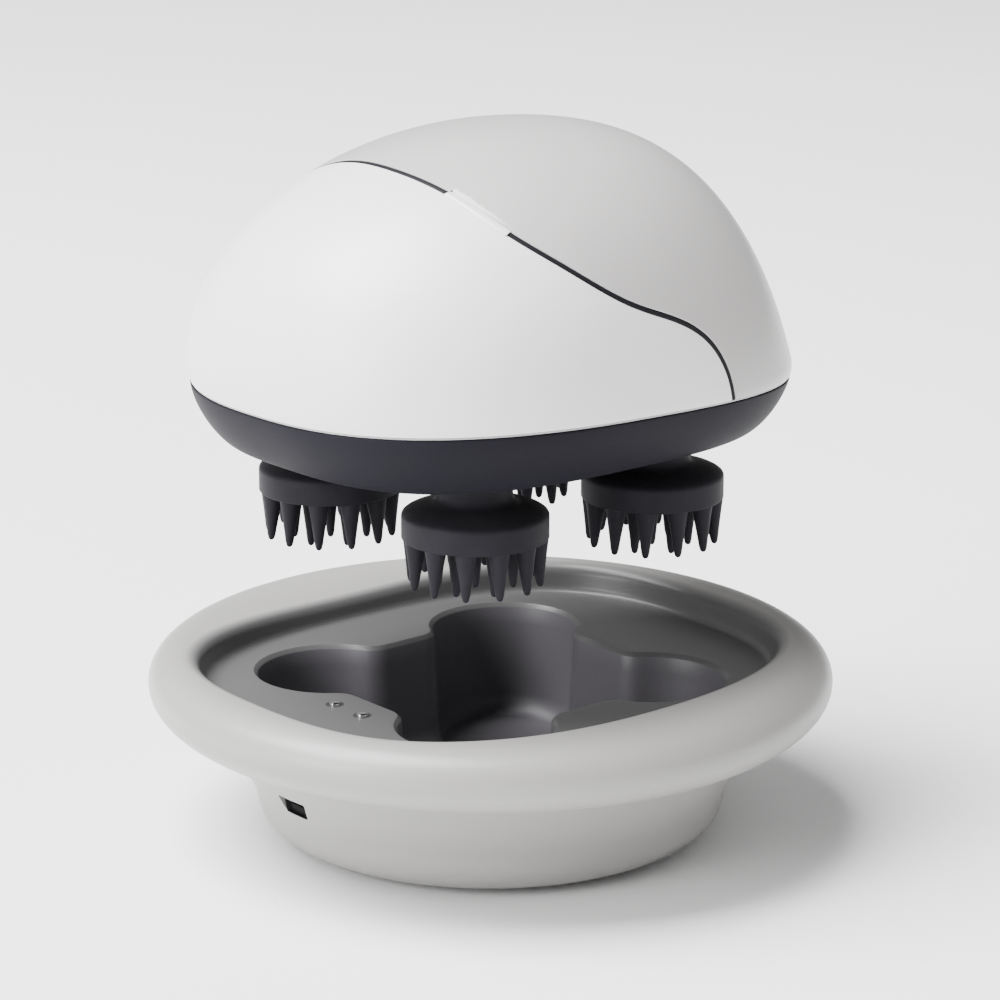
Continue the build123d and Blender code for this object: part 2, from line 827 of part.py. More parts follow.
with BuildPart() as gearbox_screws:
    with BuildSketch(level(plate_bottom - screw_head_height / 2)):
        with PolarLocations(gearbox_screw_ring, 2):
            Circle(screw_head_radius - 0.3)
    extrude(amount=screw_head_height / 2)
    with BuildSketch(level(plate_bottom)):
        with PolarLocations(gearbox_screw_ring, 2):
            Circle(screw_radius)
    extrude(amount=plate_thickness + 2.5)
save(gearbox_screws.part, "gearbox_screws")

motor_bottom = plate_top + gearbox_height
with BuildPart() as motor:
    with BuildSketch(level(motor_bottom)):
        Circle(motor_radius)
    extrude(amount=motor_height)
    fillet(motor.faces().sort_by(Axis.Z)[-1].edges(), 1.5)
    with BuildSketch(level(motor_bottom + motor_height)):
        Circle(4.0)
    extrude(amount=1.5)
    with BuildSketch(level(motor_bottom + motor_height)):
        with PolarLocations(8.0, 2, start_angle=90):
            Rectangle(0.6, 2.4)
    extrude(amount=motor_terminal_height)
save(motor.part, "motor")

cell_axis_height = plate_top + cell_clearance + cell_radius
with BuildPart() as battery_cell:
    with BuildSketch(Plane.YZ.offset(-cell_length / 2)):
        with Locations((cell_y, head_plane + cell_axis_height)):
            Circle(cell_radius)
    extrude(amount=cell_length)
    fillet(battery_cell.edges().filter_by(GeomType.CIRCLE), 0.6)
save(battery_cell.part, "battery_cell")

saddle_x = 12.0
saddle_thickness = 3.0
with BuildPart() as battery_cradle:
    with BuildSketch(level(plate_top)):
        with Locations((0, cell_y)):
            Rectangle(2 * saddle_x + saddle_thickness, 2 * cell_radius - 1)
    extrude(amount=1.2)
    for x in (-saddle_x, saddle_x):
        with BuildSketch(Plane.YZ.offset(x - saddle_thickness / 2)):
            with Locations((cell_y, head_plane + plate_top + (cell_clearance + 0.8 * cell_radius) / 2)):
                Rectangle(2 * cell_radius + 3, cell_clearance + 0.8 * cell_radius)
            with Locations((cell_y, head_plane + cell_axis_height)):
                Circle(cell_radius, mode=Mode.SUBTRACT)
        extrude(amount=saddle_thickness)
save(battery_cradle.part, "battery_cradle")

control_board_bottom = plate_top + control_board_standoff
with BuildPart() as control_board:
    with BuildSketch(level(control_board_bottom)):
        with Locations((0, control_board_y)):
            Rectangle(control_board_length, control_board_width)
        with Locations((board_post_x, control_board_y), (-board_post_x, control_board_y)):
            Circle(1.0, mode=Mode.SUBTRACT)
    extrude(amount=board_thickness)
    with BuildSketch(level(control_board_bottom + board_thickness)):
        with Locations((-3, control_board_y)):
            Rectangle(7, 7)
        with Locations((6, control_board_y - 3)):
            Rectangle(5, 4)
        with Locations((19, control_board_y)):
            Rectangle(4, 8)
    extrude(amount=1.4)
save(control_board.part, "control_board")

with BuildPart() as board_screws:
    with BuildSketch(level(control_board_bottom - 3)):
        with Locations((board_post_x, control_board_y), (-board_post_x, control_board_y)):
            Circle(1.0)
    extrude(amount=3 + board_thickness)
    with BuildSketch(level(control_board_bottom + board_thickness)):
        with Locations((board_post_x, control_board_y), (-board_post_x, control_board_y)):
            Circle(1.9)
    extrude(amount=1.1)
save(board_screws.part, "board_screws")

# ---------------------------------------------------------------------------------------
# Dock: bowl with brim, ledge and four-lobed recess
# ---------------------------------------------------------------------------------------
def recess_outline(plane, offset_by):
    """Four round lobes joined by straight sides with rounded corners."""
    with BuildSketch(plane) as outline:
        Rectangle(2 * (recess_half_length + offset_by), 2 * (recess_half_width + offset_by))
        with Locations(*head_xy):
            Circle(recess_lobe_radius + offset_by)
        corners = outline.vertices().filter_by(
            lambda v: hypot(v.X, v.Y) < head_offset * sqrt(2) + recess_lobe_radius * 0.6
        )
        fillet(corners, recess_side_round)
    return outline.sketch


cup_wide = cup_floor_radius + cup_corner_width
cup_bend = foot_height + cup_corner_height
base_top = foot_height + base_thickness
ring_bottom = foot_height + base_flange


def cup_hollow(gap):
    """The space inside the cup as a solid, smaller than it by the gap."""
    inset = cup_wall + gap
    with BuildPart() as hollow:
        with BuildSketch(Plane.XZ):
            with BuildLine():
                corner = EllipticalCenterArc(
                    (cup_floor_radius, cup_bend),
                    cup_corner_width - inset,
                    cup_bend - ring_bottom - inset,
                    start_angle=270,
                    arc_size=90,
                )
                flank = Spline(
                    corner @ 1,
                    (cup_middle_radius - 1.06 * inset, cup_middle),
                    (cup_top_radius - 1.1 * inset, cup_top),
                    tangents=[(0.1, 1), (0.45, 1)],
                )
                Polyline(
                    flank @ 1,
                    (cup_top_radius - 1.1 * inset, ledge_height),
                    (0, ledge_height),
                    (0, ring_bottom + inset),
                    corner @ 0,
                )
            make_face()
        revolve(axis=Axis.Z)
    return hollow.part


with BuildPart() as recess_tub:
    with BuildSketch(Plane.XY.offset(ledge_height - 0.5)):
        add(recess_outline(Plane.XY, recess_wall))
    extrude(amount=-(ledge_height - recess_floor + recess_wall - 0.5), taper=recess_draft)
    add(cup_hollow(tub_clearance), mode=Mode.INTERSECT)

with BuildPart() as recess_space:
    with BuildSketch(Plane.XY.offset(ledge_height)):
        add(recess_outline(Plane.XY, 0))
    extrude(amount=recess_floor - ledge_height, taper=recess_draft)
    fillet(recess_space.faces().sort_by(Axis.Z)[0].edges(), recess_bottom_round)

crest_height = brim_peak_height - brim_fall * (brim_peak_radius - bowl_half_length)
bowl_top = brim_peak_height + 4
bowl_inside = bowl_half_width - 8     # a radius that lies wholly inside the bowl
inside_height = brim_peak_height - brim_fall * (brim_peak_radius - bowl_inside)
with BuildPart() as dock_bowl:
    with BuildSketch(Plane.XZ):
        with BuildLine():
            brim_top = EllipticalCenterArc(
                (brim_peak_radius, brim_edge_height),
                brim_radius - brim_peak_radius,
                brim_peak_height - brim_edge_height,
                arc_size=90,
            )
            inward = Polyline(
                brim_top @ 1,
                (bowl_inside, inside_height),
                (0, inside_height),
                (0, ledge_height - ledge_thickness),
                (brim_under_radius, ledge_height - ledge_thickness),
                (brim_under_radius, cup_top - rib_drop),
                (brim_under_radius + rib_thickness, cup_top - rib_drop),
                (brim_under_radius + rib_thickness, cup_top),
                (cup_top_radius + 1, cup_top),
            )
            EllipticalCenterArc(
                (cup_top_radius + 1, brim_edge_height),
                brim_radius - cup_top_radius - 1,
                brim_edge_height - cup_top,
                start_angle=270,
                arc_size=90,
            )
        make_face()
    revolve(axis=Axis.Z)
    flare = bowl_draft * (bowl_top - ledge_height) / (crest_height - ledge_height) - bowl_draft
    loft(
        sections=[
            oval(
                Plane.XY.offset(ledge_height),
                bowl_half_length - bowl_draft,
                bowl_half_width - bowl_draft,
                bowl_power,
            ),
            oval(
                Plane.XY.offset(bowl_top),
                bowl_half_length + flare,
                bowl_half_width + flare,
                bowl_power,
            ),
        ],
        mode=Mode.SUBTRACT,
    )
    crest = dock_bowl.edges().filter_by(
        lambda e: abs(e.bounding_box().max.X - bowl_half_length) < 1
        and e.bounding_box().max.Z > ledge_height + 2
    )
    fillet(crest, bowl_edge_round)
    # Tub of the recess, hanging under the ledge, with the bosses for the base's screws.
    add(recess_tub.part)
    with BuildSketch(Plane.XY.offset(base_top)):
        with GridLocations(2 * base_screw_offset, 2 * base_screw_offset, 2, 2):
            Circle(base_boss_radius)
    extrude(amount=recess_floor - base_top - 0.5)
    with BuildSketch(Plane.XY.offset(dock_board_top)):
        with Locations(*dock_post_xy):
            Circle(dock_post_radius)
    extrude(amount=ledge_height - 0.5 - dock_board_top)
    add(recess_space.part, mode=Mode.SUBTRACT)
    recess_rim = dock_bowl.edges().filter_by(
        lambda e: abs(e.bounding_box().min.Z - ledge_height) < 0.01
        and abs(e.bounding_box().max.Z - ledge_height) < 0.01
        and e.length < 100
    )
    chamfer(recess_rim, recess_chamfer)
    # Screw holes, and the two holes for the contact barrels.
    with BuildSketch(Plane.XY.offset(base_top)):
        with GridLocations(2 * base_screw_offset, 2 * base_screw_offset, 2, 2):
            Circle(screw_radius)
    extrude(amount=recess_floor - 0.5 - base_top, mode=Mode.SUBTRACT)
    with BuildSketch(Plane.XY.offset(dock_board_top)):
        with Locations(*dock_post_xy):
            Circle(0.8)
    extrude(amount=4, mode=Mode.SUBTRACT)
    with BuildSketch(Plane.XY.offset(ledge_height)):
        with Locations(*contact_xy):
            Circle(barrel_radius)
    extrude(amount=-2 * ledge_thickness, mode=Mode.SUBTRACT)
save(dock_bowl.part, "dock_bowl")

# ---- Cup that the bowl stands on ----
with BuildPart() as dock_cup:
    with BuildSketch(Plane.XZ):
        with BuildLine():
            outer_corner = EllipticalCenterArc(
                (cup_floor_radius, cup_bend),
                cup_corner_width,
                cup_corner_height,
                start_angle=270,
                arc_size=90,
            )
            outer_flank = Spline(
                outer_corner @ 1,
                (cup_middle_radius, cup_middle),
                (cup_top_radius, cup_top),
                tangents=[(0.1, 1), (0.45, 1)],
            )
            Polyline(
                outer_flank @ 1,
                (0, cup_top),
                (0, ring_bottom),
                (base_radius + 0.1, ring_bottom),
                (base_radius + 0.1, foot_height),
                outer_corner @ 0,
            )
        make_face()
    revolve(axis=Axis.Z)
    add(cup_hollow(0.0), mode=Mode.SUBTRACT)
    with BuildSketch(Plane.XY.offset(ring_bottom)):
        Circle(base_radius - base_seat)
    extrude(amount=2 * cup_wall, mode=Mode.SUBTRACT)
    with BuildSketch(Plane.YZ.offset(-FAR)):
        with BuildLine():
            Polyline(
                (-usb_top_width / 2 - usb_margin, usb_height + usb_body_height / 2 + usb_margin),
                (usb_top_width / 2 + usb_margin, usb_height + usb_body_height / 2 + usb_margin),
                (usb_bottom_width / 2 + usb_margin, usb_height - usb_body_height / 2 - usb_margin),
                (-usb_bottom_width / 2 - usb_margin, usb_height - usb_body_height / 2 - usb_margin),
                close=True,
            )
        make_face()
    extrude(amount=FAR, mode=Mode.SUBTRACT)
save(dock_cup.part, "dock_cup")

with BuildPart() as dock_base_plate:
    with BuildSketch(Plane.XY.offset(foot_height)):
        Circle(base_radius)
    extrude(amount=base_flange)
    with BuildSketch(Plane.XY.offset(ring_bottom)):
        Circle(base_radius - base_seat - 0.1)
    extrude(amount=base_top - ring_bottom)
    with BuildSketch(Plane.XY.offset(foot_height)):
        with PolarLocations(foot_ring, 4, start_angle=45):
            Circle(foot_radius)
    extrude(amount=foot_height / 2, mode=Mode.SUBTRACT)
    with BuildSketch(Plane.XY.offset(foot_height)):
        with GridLocations(2 * base_screw_offset, 2 * base_screw_offset, 2, 2):
            Circle(screw_head_radius)
    extrude(amount=base_thickness / 2, mode=Mode.SUBTRACT)
    with BuildSketch(Plane.XY.offset(foot_height)):
        with GridLocations(2 * base_screw_offset, 2 * base_screw_offset, 2, 2):
            Circle(screw_radius)
    extrude(amount=base_thickness, mode=Mode.SUBTRACT)
save(dock_base_plate.part, "dock_base_plate")

with BuildPart() as dock_feet:
    with BuildSketch():
        with PolarLocations(foot_ring, 4, start_angle=45):
            Circle(foot_radius)
    extrude(amount=1.5 * foot_height)
    chamfer(dock_feet.edges().group_by(Axis.Z)[0], 0.4)
save(dock_feet.part, "dock_feet")

with BuildPart() as dock_screws:
    with BuildSketch(Plane.XY.offset(foot_height + 0.1)):
        with GridLocations(2 * base_screw_offset, 2 * base_screw_offset, 2, 2):
            Circle(screw_head_radius)
    extrude(amount=base_thickness / 2 - 0.1)
    with BuildSketch(Plane.XY.offset(foot_height + base_thickness / 2)):
        with GridLocations(2 * base_screw_offset, 2 * base_screw_offset, 2, 2):
            Circle(screw_radius)
    extrude(amount=recess_floor - 0.6 - foot_height - base_thickness / 2)
save(dock_screws.part, "dock_screws")

# ---- Charging board, cable inlet and spring contacts ----
with BuildPart() as dock_board:
    with BuildSketch(Plane.XY.offset(dock_board_bottom)):
        with Locations((-dock_board_end + dock_board_length / 2, 0)):
            Rectangle(dock_board_length, dock_board_width)
        with Locations(*dock_post_xy):
            Circle(0.8, mode=Mode.SUBTRACT)
    extrude(amount=board_thickness)
save(dock_board.part, "dock_board")

with BuildPart() as dock_board_screws:
    with BuildSketch(Plane.XY.offset(dock_board_bottom - 1)):
        with Locations(*dock_post_xy):
            Circle(1.5)
    extrude(amount=1)
    with BuildSketch(Plane.XY.offset(dock_board_bottom)):
        with Locations(*dock_post_xy):
            Circle(0.8)
    extrude(amount=board_thickness + 3.5)
save(dock_board_screws.part, "dock_board_screws")

with BuildPart() as micro_usb_inlet:
    with BuildSketch(Plane.YZ.offset(-usb_face)):
        with BuildLine():
            Polyline(
                (-usb_top_width / 2, usb_height + usb_body_height / 2),
                (usb_top_width / 2, usb_height + usb_body_height / 2),
                (usb_top_width / 2, usb_height - 0.1),
                (usb_bottom_width / 2, usb_height - usb_body_height / 2),
                (-usb_bottom_width / 2, usb_height - usb_body_height / 2),
                (-usb_top_width / 2, usb_height - 0.1),
                close=True,
            )
        make_face()
    extrude(amount=usb_depth)
    mouth = micro_usb_inlet.faces().sort_by(Axis.X)[0]
    with BuildSketch(Plane.YZ.offset(-usb_face)):
        with BuildLine():
            Polyline(
                (-usb_top_width / 2 + usb_wall, usb_height + usb_body_height / 2 - usb_wall),
                (usb_top_width / 2 - usb_wall, usb_height + usb_body_height / 2 - usb_wall),
                (usb_top_width / 2 - usb_wall, usb_height),
                (usb_bottom_width / 2 - usb_wall / 2, usb_height - usb_body_height / 2 + usb_wall),
                (-usb_bottom_width / 2 + usb_wall / 2, usb_height - usb_body_height / 2 + usb_wall),
                (-usb_top_width / 2 + usb_wall, usb_height),
                close=True,
            )
        make_face()
    extrude(amount=usb_depth - 1, mode=Mode.SUBTRACT)
    with BuildSketch(Plane.YZ.offset(-usb_face + 0.8)):
        with Locations((0, usb_height + 0.2)):
            Rectangle(3.7, 0.5)
    extrude(amount=usb_depth - 1)
save(micro_usb_inlet.part, "micro_usb_inlet")

collar_top = ledge_height - 1.0 - running_fit
with BuildPart() as contact_barrels:
    with BuildSketch(Plane.XY.offset(ledge_height)):
        with Locations(*contact_xy):
            Circle(barrel_radius)
    extrude(amount=-barrel_length)
    with BuildSketch(Plane.XY.offset(dock_board_top)):
        with Locations(*contact_xy):
            Circle(barrel_tail_radius)
    extrude(amount=ledge_height - barrel_length - dock_board_top)
    with BuildSketch(Plane.XY.offset(ledge_height)):
        with Locations(*contact_xy):
            Circle(pin_radius + running_fit)
    extrude(amount=-2, mode=Mode.SUBTRACT)
    with BuildSketch(Plane.XY.offset(ledge_height - 1.0)):
        with Locations(*contact_xy):
            Circle(pin_radius + pin_collar + running_fit)
    extrude(amount=2 - barrel_length, mode=Mode.SUBTRACT)
save(contact_barrels.part, "contact_barrels")

for side, (x, y) in zip(("left", "right"), contact_xy):
    with BuildPart() as contact_pin:
        with BuildSketch(Plane.XY.offset(ledge_height + pin_proud)):
            with Locations((x, y)):
                Circle(pin_radius)
        extrude(amount=-pin_length)
        fillet(contact_pin.faces().sort_by(Axis.Z)[-1].edges(), 0.35)
        with BuildSketch(Plane.XY.offset(collar_top)):
            with Locations((x, y)):
                Circle(pin_radius + pin_collar)
        extrude(amount=-1)
    save(contact_pin.part, f"contact_pin_{side}")
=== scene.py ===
# %% [markdown]
# # A scalp massager over its charging dock
# The object is an oval, palm-sized massager with four turning heads, hovering over a round
# dock.  Its exact solids come first, as a frame that this lesson never moves.  Each visible
# surface is then modelled again with more care, and every piece rides on the part of the
# frame that it belongs to, so the heads can turn and the massager can drop into its dock.

import json
from math import cos, pi, radians, sin, sqrt, tan

import bpy
import numpy as np
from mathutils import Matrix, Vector


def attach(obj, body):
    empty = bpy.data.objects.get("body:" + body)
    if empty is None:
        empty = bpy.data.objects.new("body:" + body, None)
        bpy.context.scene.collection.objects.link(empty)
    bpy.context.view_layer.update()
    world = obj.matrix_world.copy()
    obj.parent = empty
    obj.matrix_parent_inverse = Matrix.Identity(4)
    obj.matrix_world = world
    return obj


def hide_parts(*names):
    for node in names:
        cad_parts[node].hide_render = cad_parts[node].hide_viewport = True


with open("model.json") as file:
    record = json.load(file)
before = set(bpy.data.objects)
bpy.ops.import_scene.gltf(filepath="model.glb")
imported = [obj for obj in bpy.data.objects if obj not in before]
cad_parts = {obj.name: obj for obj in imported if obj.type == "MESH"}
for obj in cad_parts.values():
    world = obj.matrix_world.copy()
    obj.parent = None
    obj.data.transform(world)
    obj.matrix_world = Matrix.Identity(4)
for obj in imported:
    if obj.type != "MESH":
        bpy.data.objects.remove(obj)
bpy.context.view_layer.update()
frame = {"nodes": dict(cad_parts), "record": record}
MM = 0.001

# %% [markdown]
# ## Camera
# The camera looks a little down on the object, from a corner of its dock.  A long lens from
# well back keeps the ellipses calm.  It could be placed by eye, but here the aim point, the
# two angles and the distance say exactly where it is, and its place follows from them.

# %% Camera
VIEW_AZIMUTH = radians(-40)
VIEW_ELEVATION = radians(15.6)
VIEW_DISTANCE = 700 * MM
LENS_PIXELS = 3620                  # focal length, in pixels of a picture 1000 wide
SENSOR_WIDTH = 36.0
aim = Vector((0, 0, 65.35 * MM)) + 1.84 * MM * Vector((cos(VIEW_AZIMUTH), sin(VIEW_AZIMUTH), 0))
back = Vector(
    (
        sin(VIEW_AZIMUTH) * cos(VIEW_ELEVATION),
        -cos(VIEW_AZIMUTH) * cos(VIEW_ELEVATION),
        sin(VIEW_ELEVATION),
    )
)
bpy.ops.object.camera_add(location=aim + VIEW_DISTANCE * back)
camera = bpy.context.object
camera.name = "main_camera"
camera.rotation_euler = (-back).to_track_quat("-Z", "Y").to_euler()
camera.data.sensor_width = SENSOR_WIDTH
camera.data.lens = SENSOR_WIDTH * LENS_PIXELS / 1000
camera.data.clip_start = 0.01
camera.data.clip_end = 20
bpy.context.scene.camera = camera
print("camera at", [round(v, 4) for v in camera.location])

# %% [markdown]
# ## Floor and light
# A studio sweep is one bright surface that fades out behind the object.  A very large floor
# under an even sky does the same and never shows an edge.  Three area lights shape the form:
# a wide strong one above, a small one from the left, and a weak one from the right that keeps
# the far side from going flat.

# %% Floor and light
bpy.ops.mesh.primitive_plane_add(size=30, location=(0, 0, -0.0002))
floor = bpy.context.object
floor.name = "floor"
paper = bpy.data.materials.new("studio_paper")
paper.use_nodes = True
paper_shader = paper.node_tree.nodes["Principled BSDF"]
paper_shader.inputs["Base Color"].default_value = (0.94, 0.94, 0.94, 1)
paper_shader.inputs["Roughness"].default_value = 0.9
floor.data.materials.append(paper)


def soft_light(name, location, size, power):
    """A square area light that faces the middle of the object."""
    bpy.ops.object.light_add(type="AREA", location=location)
    light = bpy.context.object
    light.name = name
    light.data.size = size
    light.data.energy = power
    heading = Vector((0, 0, 60 * MM)) - Vector(location)
    light.rotation_euler = heading.to_track_quat("-Z", "Y").to_euler()
    return light


def from_view(right, away, up):
    """A place given by the camera's right, its level line of sight and height."""
    c, s = cos(VIEW_AZIMUTH), sin(VIEW_AZIMUTH)
    return (right * c - away * s, right * s + away * c, up)


soft_light("top_light", from_view(-0.9, -0.15, 1.9), 1.5, 185)
soft_light("left_light", from_view(-1.1, -0.8, 0.55), 0.7, 20)
soft_light("right_light", from_view(1.2, -0.5, 0.5), 0.9, 1)

world = bpy.data.worlds.new("studio")
bpy.context.scene.world = world
world.use_nodes = True
sky = world.node_tree.nodes["Background"]
sky.inputs["Color"].default_value = (1.0, 1.0, 1.0, 1.0)
sky.inputs["Strength"].default_value = 0.42
print("lights placed")

# %% [markdown]
# ## Sums on sockets
# A material is a graph of small nodes.  Wiring each by hand hides the idea behind the wires,
# so one small class wraps a socket and lets ordinary sums add the Math nodes.  A second
# class holds one finish: it adds any other node from its kind, its settings and its inputs.

# %% Sums on sockets


class Value:
    """One output socket of a finish, which sums can use."""

    def __init__(self, finish, socket):
        self.finish = finish
        self.socket = socket

    def math(self, operation, other, swapped=False):
        first, second = (other, self) if swapped else (self, other)
        return self.finish.node(
            "ShaderNodeMath", {"operation": operation}, {0: first, 1: second}
        )

    def __add__(self, other):
        return self.math("ADD", other)

    def __radd__(self, other):
        return self.math("ADD", other, swapped=True)

    def __sub__(self, other):
        return self.math("SUBTRACT", other)

    def __rsub__(self, other):
        return self.math("SUBTRACT", other, swapped=True)

    def __mul__(self, other):
        return self.math("MULTIPLY", other)

    def __rmul__(self, other):
        return self.math("MULTIPLY", other, swapped=True)

    def __truediv__(self, other):
        return self.math("DIVIDE", other)

    def __rtruediv__(self, other):
        return self.math("DIVIDE", other, swapped=True)

    def over(self, limit):
        """1 where this is above the limit, and 0 elsewhere."""
        return self.math("GREATER_THAN", limit)


class Finish:
    """A material that is built up one node at a time."""

    def __init__(self, name, **constants):
        self.material = bpy.data.materials.new(name)
        self.material.use_nodes = True
        self.tree = self.material.node_tree
        self.shader = self.tree.nodes["Principled BSDF"]
        for socket, value in constants.items():
            self.feed(socket.replace("_", " "), value)
        place = self.tree.nodes.new("ShaderNodeTexCoord")
        self.place = Value(self, place.outputs["Object"])

    def connect(self, socket, value):
        """Link a Value to a socket, or write a plain value on it."""
        if isinstance(value, Value):
            self.tree.links.new(value.socket, socket)
        elif isinstance(value, (tuple, list)) and len(value) == 3 and socket.type == "RGBA":
            socket.default_value = (*value, 1.0)
        else:
            socket.default_value = value

    def node(self, kind, settings, inputs):
        """Add a node, set it up, feed it and return its first output."""
        made = self.tree.nodes.new(kind)
        for name, value in settings.items():
            setattr(made, name, value)
        for name, value in inputs.items():
            self.connect(made.inputs[name], value)
        return Value(self, made.outputs[0])

    def feed(self, socket, value):
        """Give the surface shader one of its inputs."""
        self.connect(self.shader.inputs[socket], value)

    def noise(self, scale, detail=2.0, place=None):
        """A soft random value, 0 to 1, that is `scale` times finer than a metre."""
        inputs = {"Vector": place or self.place, "Scale": scale, "Detail": detail}
        return self.node("ShaderNodeTexNoise", {}, inputs)

    def ramp(self, value, stops):
        """Colours or greys spread along a value."""
        made = self.tree.nodes.new("ShaderNodeValToRGB")
        elements = made.color_ramp.elements
        while len(elements) < len(stops):
            elements.new(0.5)
        for element, (position, colour) in zip(elements, stops):
            element.position = position
            element.color = (*colour, 1.0)
        self.connect(made.inputs["Fac"], value)
        return Value(self, made.outputs["Color"])

    def blend(self, share, first, second):
        """A colour between two others."""
        made = self.tree.nodes.new("ShaderNodeMix")
        made.data_type = "RGBA"
        # A mix node keeps a set of sockets for each kind of data; these are its colours'.
        for socket, value in ((0, share), (6, first), (7, second)):
            self.connect(made.inputs[socket], value)
        return Value(self, made.outputs[2])

    def bump(self, height):
        """Feed the shader's normal from a height in millimetres."""
        made = self.tree.nodes.new("ShaderNodeBump")
        made.inputs["Strength"].default_value = 1.0
        made.inputs["Distance"].default_value = MM
        self.connect(made.inputs["Height"], height)
        self.tree.links.new(made.outputs["Normal"], self.shader.inputs["Normal"])

    def split(self):
        """The three parts of a place, as sockets for sums."""
        made = self.tree.nodes.new("ShaderNodeSeparateXYZ")
        self.connect(made.inputs["Vector"], self.place)
        return tuple(Value(self, made.outputs[axis]) for axis in "XYZ")


print("finish tools ready")

# %% [markdown]
# ## Moulded plastics
# A moulding is never quite even.  Its colour drifts a little over centimetres, its gloss is
# broken by a fine spark-eroded grain, and the surface waves slightly where it shrank.  One
# helper gives all of that to any plastic, so each finish only states its own amounts.

# %% Moulded plastics


def plastic(name, colour, roughness, drift=0.03, grain=0.00002, wave=0.0, gloss=0.0, shine=0.5):
    """A moulded plastic: slow colour drift, uneven gloss, fine grain and a slight wave."""
    made = Finish(name, Coat_Roughness=0.12, IOR=1.48, Specular_IOR_Level=shine)
    slow = made.noise(28, detail=2)
    darker = tuple(c * (1 - drift) for c in colour)
    lighter = tuple(min(1.0, c * (1 + drift)) for c in colour)
    made.feed("Base Color", made.ramp(slow, [(0.3, darker), (0.7, lighter)]))
    fine = made.noise(2600, detail=2)
    patches = 0.08 * (made.noise(60, detail=3) - 0.5)
    made.feed("Roughness", roughness + patches + 0.06 * (fine - 0.5))
    made.feed("Coat Weight", gloss)
    height = fine * (grain / 0.001)
    if wave:
        height = height + made.noise(45, detail=1) * (wave / 0.001)
    made.bump(height)
    return made.material


finishes = {
    "shell_white": plastic("shell_white", (0.80, 0.80, 0.805), 0.34, drift=0.01, wave=0.00006),
    "shell_pearl": plastic("shell_pearl", (0.46, 0.445, 0.44), 0.30, drift=0.02, gloss=0.25),
    "tray_charcoal": plastic(
        "tray_charcoal", (0.011, 0.0105, 0.0145), 0.55, drift=0.08, shine=0.06
    ),
    "inlay_dark": plastic("inlay_dark", (0.012, 0.011, 0.014), 0.5, drift=0.05, shine=0.1),
    "key_bright": plastic("key_bright", (0.85, 0.85, 0.85), 0.25, drift=0.01, gloss=0.3),
    "dock_grey": plastic("dock_grey", (0.285, 0.28, 0.272), 0.36, drift=0.02, wave=0.00005),
    "dock_dark": plastic("dock_dark", (0.07, 0.062, 0.075), 0.5, drift=0.08),
    "nylon_white": plastic("nylon_white", (0.74, 0.72, 0.64), 0.45, drift=0.04, grain=0.00004),
    "structure_black": plastic(
        "structure_black", (0.03, 0.03, 0.032), 0.5, drift=0.1, grain=0.00005
    ),
    "cell_wrap": plastic("cell_wrap", (0.02, 0.08, 0.20), 0.22, drift=0.05, gloss=0.6),
    "inlet_black": plastic("inlet_black", (0.006, 0.006, 0.0065), 0.5, drift=0.05, shine=0.05),
    "lamp": plastic("lamp", (0.85, 0.84, 0.75), 0.3, drift=0.02, gloss=0.4),
}

# Painted shade: inside its crest the bowl is painted darker, where the massager above shades
# it, and its recess is painted dark below the chamfer.
bowl = Finish("bowl_grey", Coat_Roughness=0.12, IOR=1.48)
x, y, height = bowl.split()
# Mask of the recess below the chamfer, which is painted dark as painted shade.
recess_shade_mask = (0.02955 - height).over(0.0) * (0.0465**2 - x * x - y * y).over(0.0)
tone = bowl.ramp(bowl.noise(28), [(0.3, (0.279, 0.274, 0.266)), (0.7, (0.291, 0.286, 0.278))])
oval = (x * x * (1 / 0.0566**2)).math("POWER", 1.425) + (y * y * (1 / 0.0476**2)).math(
    "POWER", 1.425
)
# Inside the crest the grey is painted darker as painted shade, fading in near the crest.
open_air = bowl.ramp(oval * 0.9, [(0.83, (0.0, 0.0, 0.0)), (0.93, (1.0, 1.0, 1.0))])
tone = bowl.blend(open_air, (0.085, 0.083, 0.084), tone)
bowl.feed("Base Color", bowl.blend(recess_shade_mask, tone, (0.088, 0.083, 0.093)))
bowl_grain = bowl.noise(2600)
bowl.feed("Roughness", 0.33 + 0.12 * recess_shade_mask + 0.06 * bowl_grain)
bowl.bump(bowl_grain * 0.02)
finishes["bowl_grey"] = bowl.material
print("plastics:", ", ".join(finishes))

# %% [markdown]
# ## Rubber and silicone
# Silicone looks soft because its highlight is broad and it holds a film of dust.  A sheen
# layer gives the dusty edge, and a slightly coarser grain than the plastics keeps the
# highlight from closing up.

# %% Rubber and silicone


def elastomer(name, colour, roughness, grain=0.00005, dust=0.25, shine=0.3):
    """A rubber or silicone with a soft broad highlight and a dusty edge."""
    made = Finish(
        name, Sheen_Weight=dust, Sheen_Roughness=0.5, IOR=1.41, Specular_IOR_Level=shine
    )
    cloud = made.noise(90, detail=3)
    dusty = tuple(1.25 * c + 0.003 for c in colour)
    made.feed("Base Color", made.ramp(cloud, [(0.35, colour), (0.75, dusty)]))
    fine = made.noise(1800, detail=3)
    made.feed("Roughness", roughness + 0.12 * (cloud - 0.5))
    made.bump(fine * (grain / 0.001))
    return made.material


finishes["silicone_dark"] = elastomer(
    "silicone_dark", (0.0095, 0.009, 0.0125), 0.6, dust=0.04, shine=0.15
)
finishes["seal_grey"] = elastomer("seal_grey", (0.42, 0.42, 0.42), 0.5)
finishes["seal_black"] = elastomer("seal_black", (0.02, 0.02, 0.02), 0.5)
finishes["foot_rubber"] = elastomer("foot_rubber", (0.03, 0.03, 0.03), 0.62, grain=0.0001)
print("elastomers ready")

# %% [markdown]
# ## Metals and circuit boards
# Turned shafts and screws show fine rings, so their grain is noise that is squeezed along
# the axis.  Plated contacts are smoother and warmer.  A board is green lacquer over copper
# tracks, which show as slightly lighter lines.

# %% Metals and boards


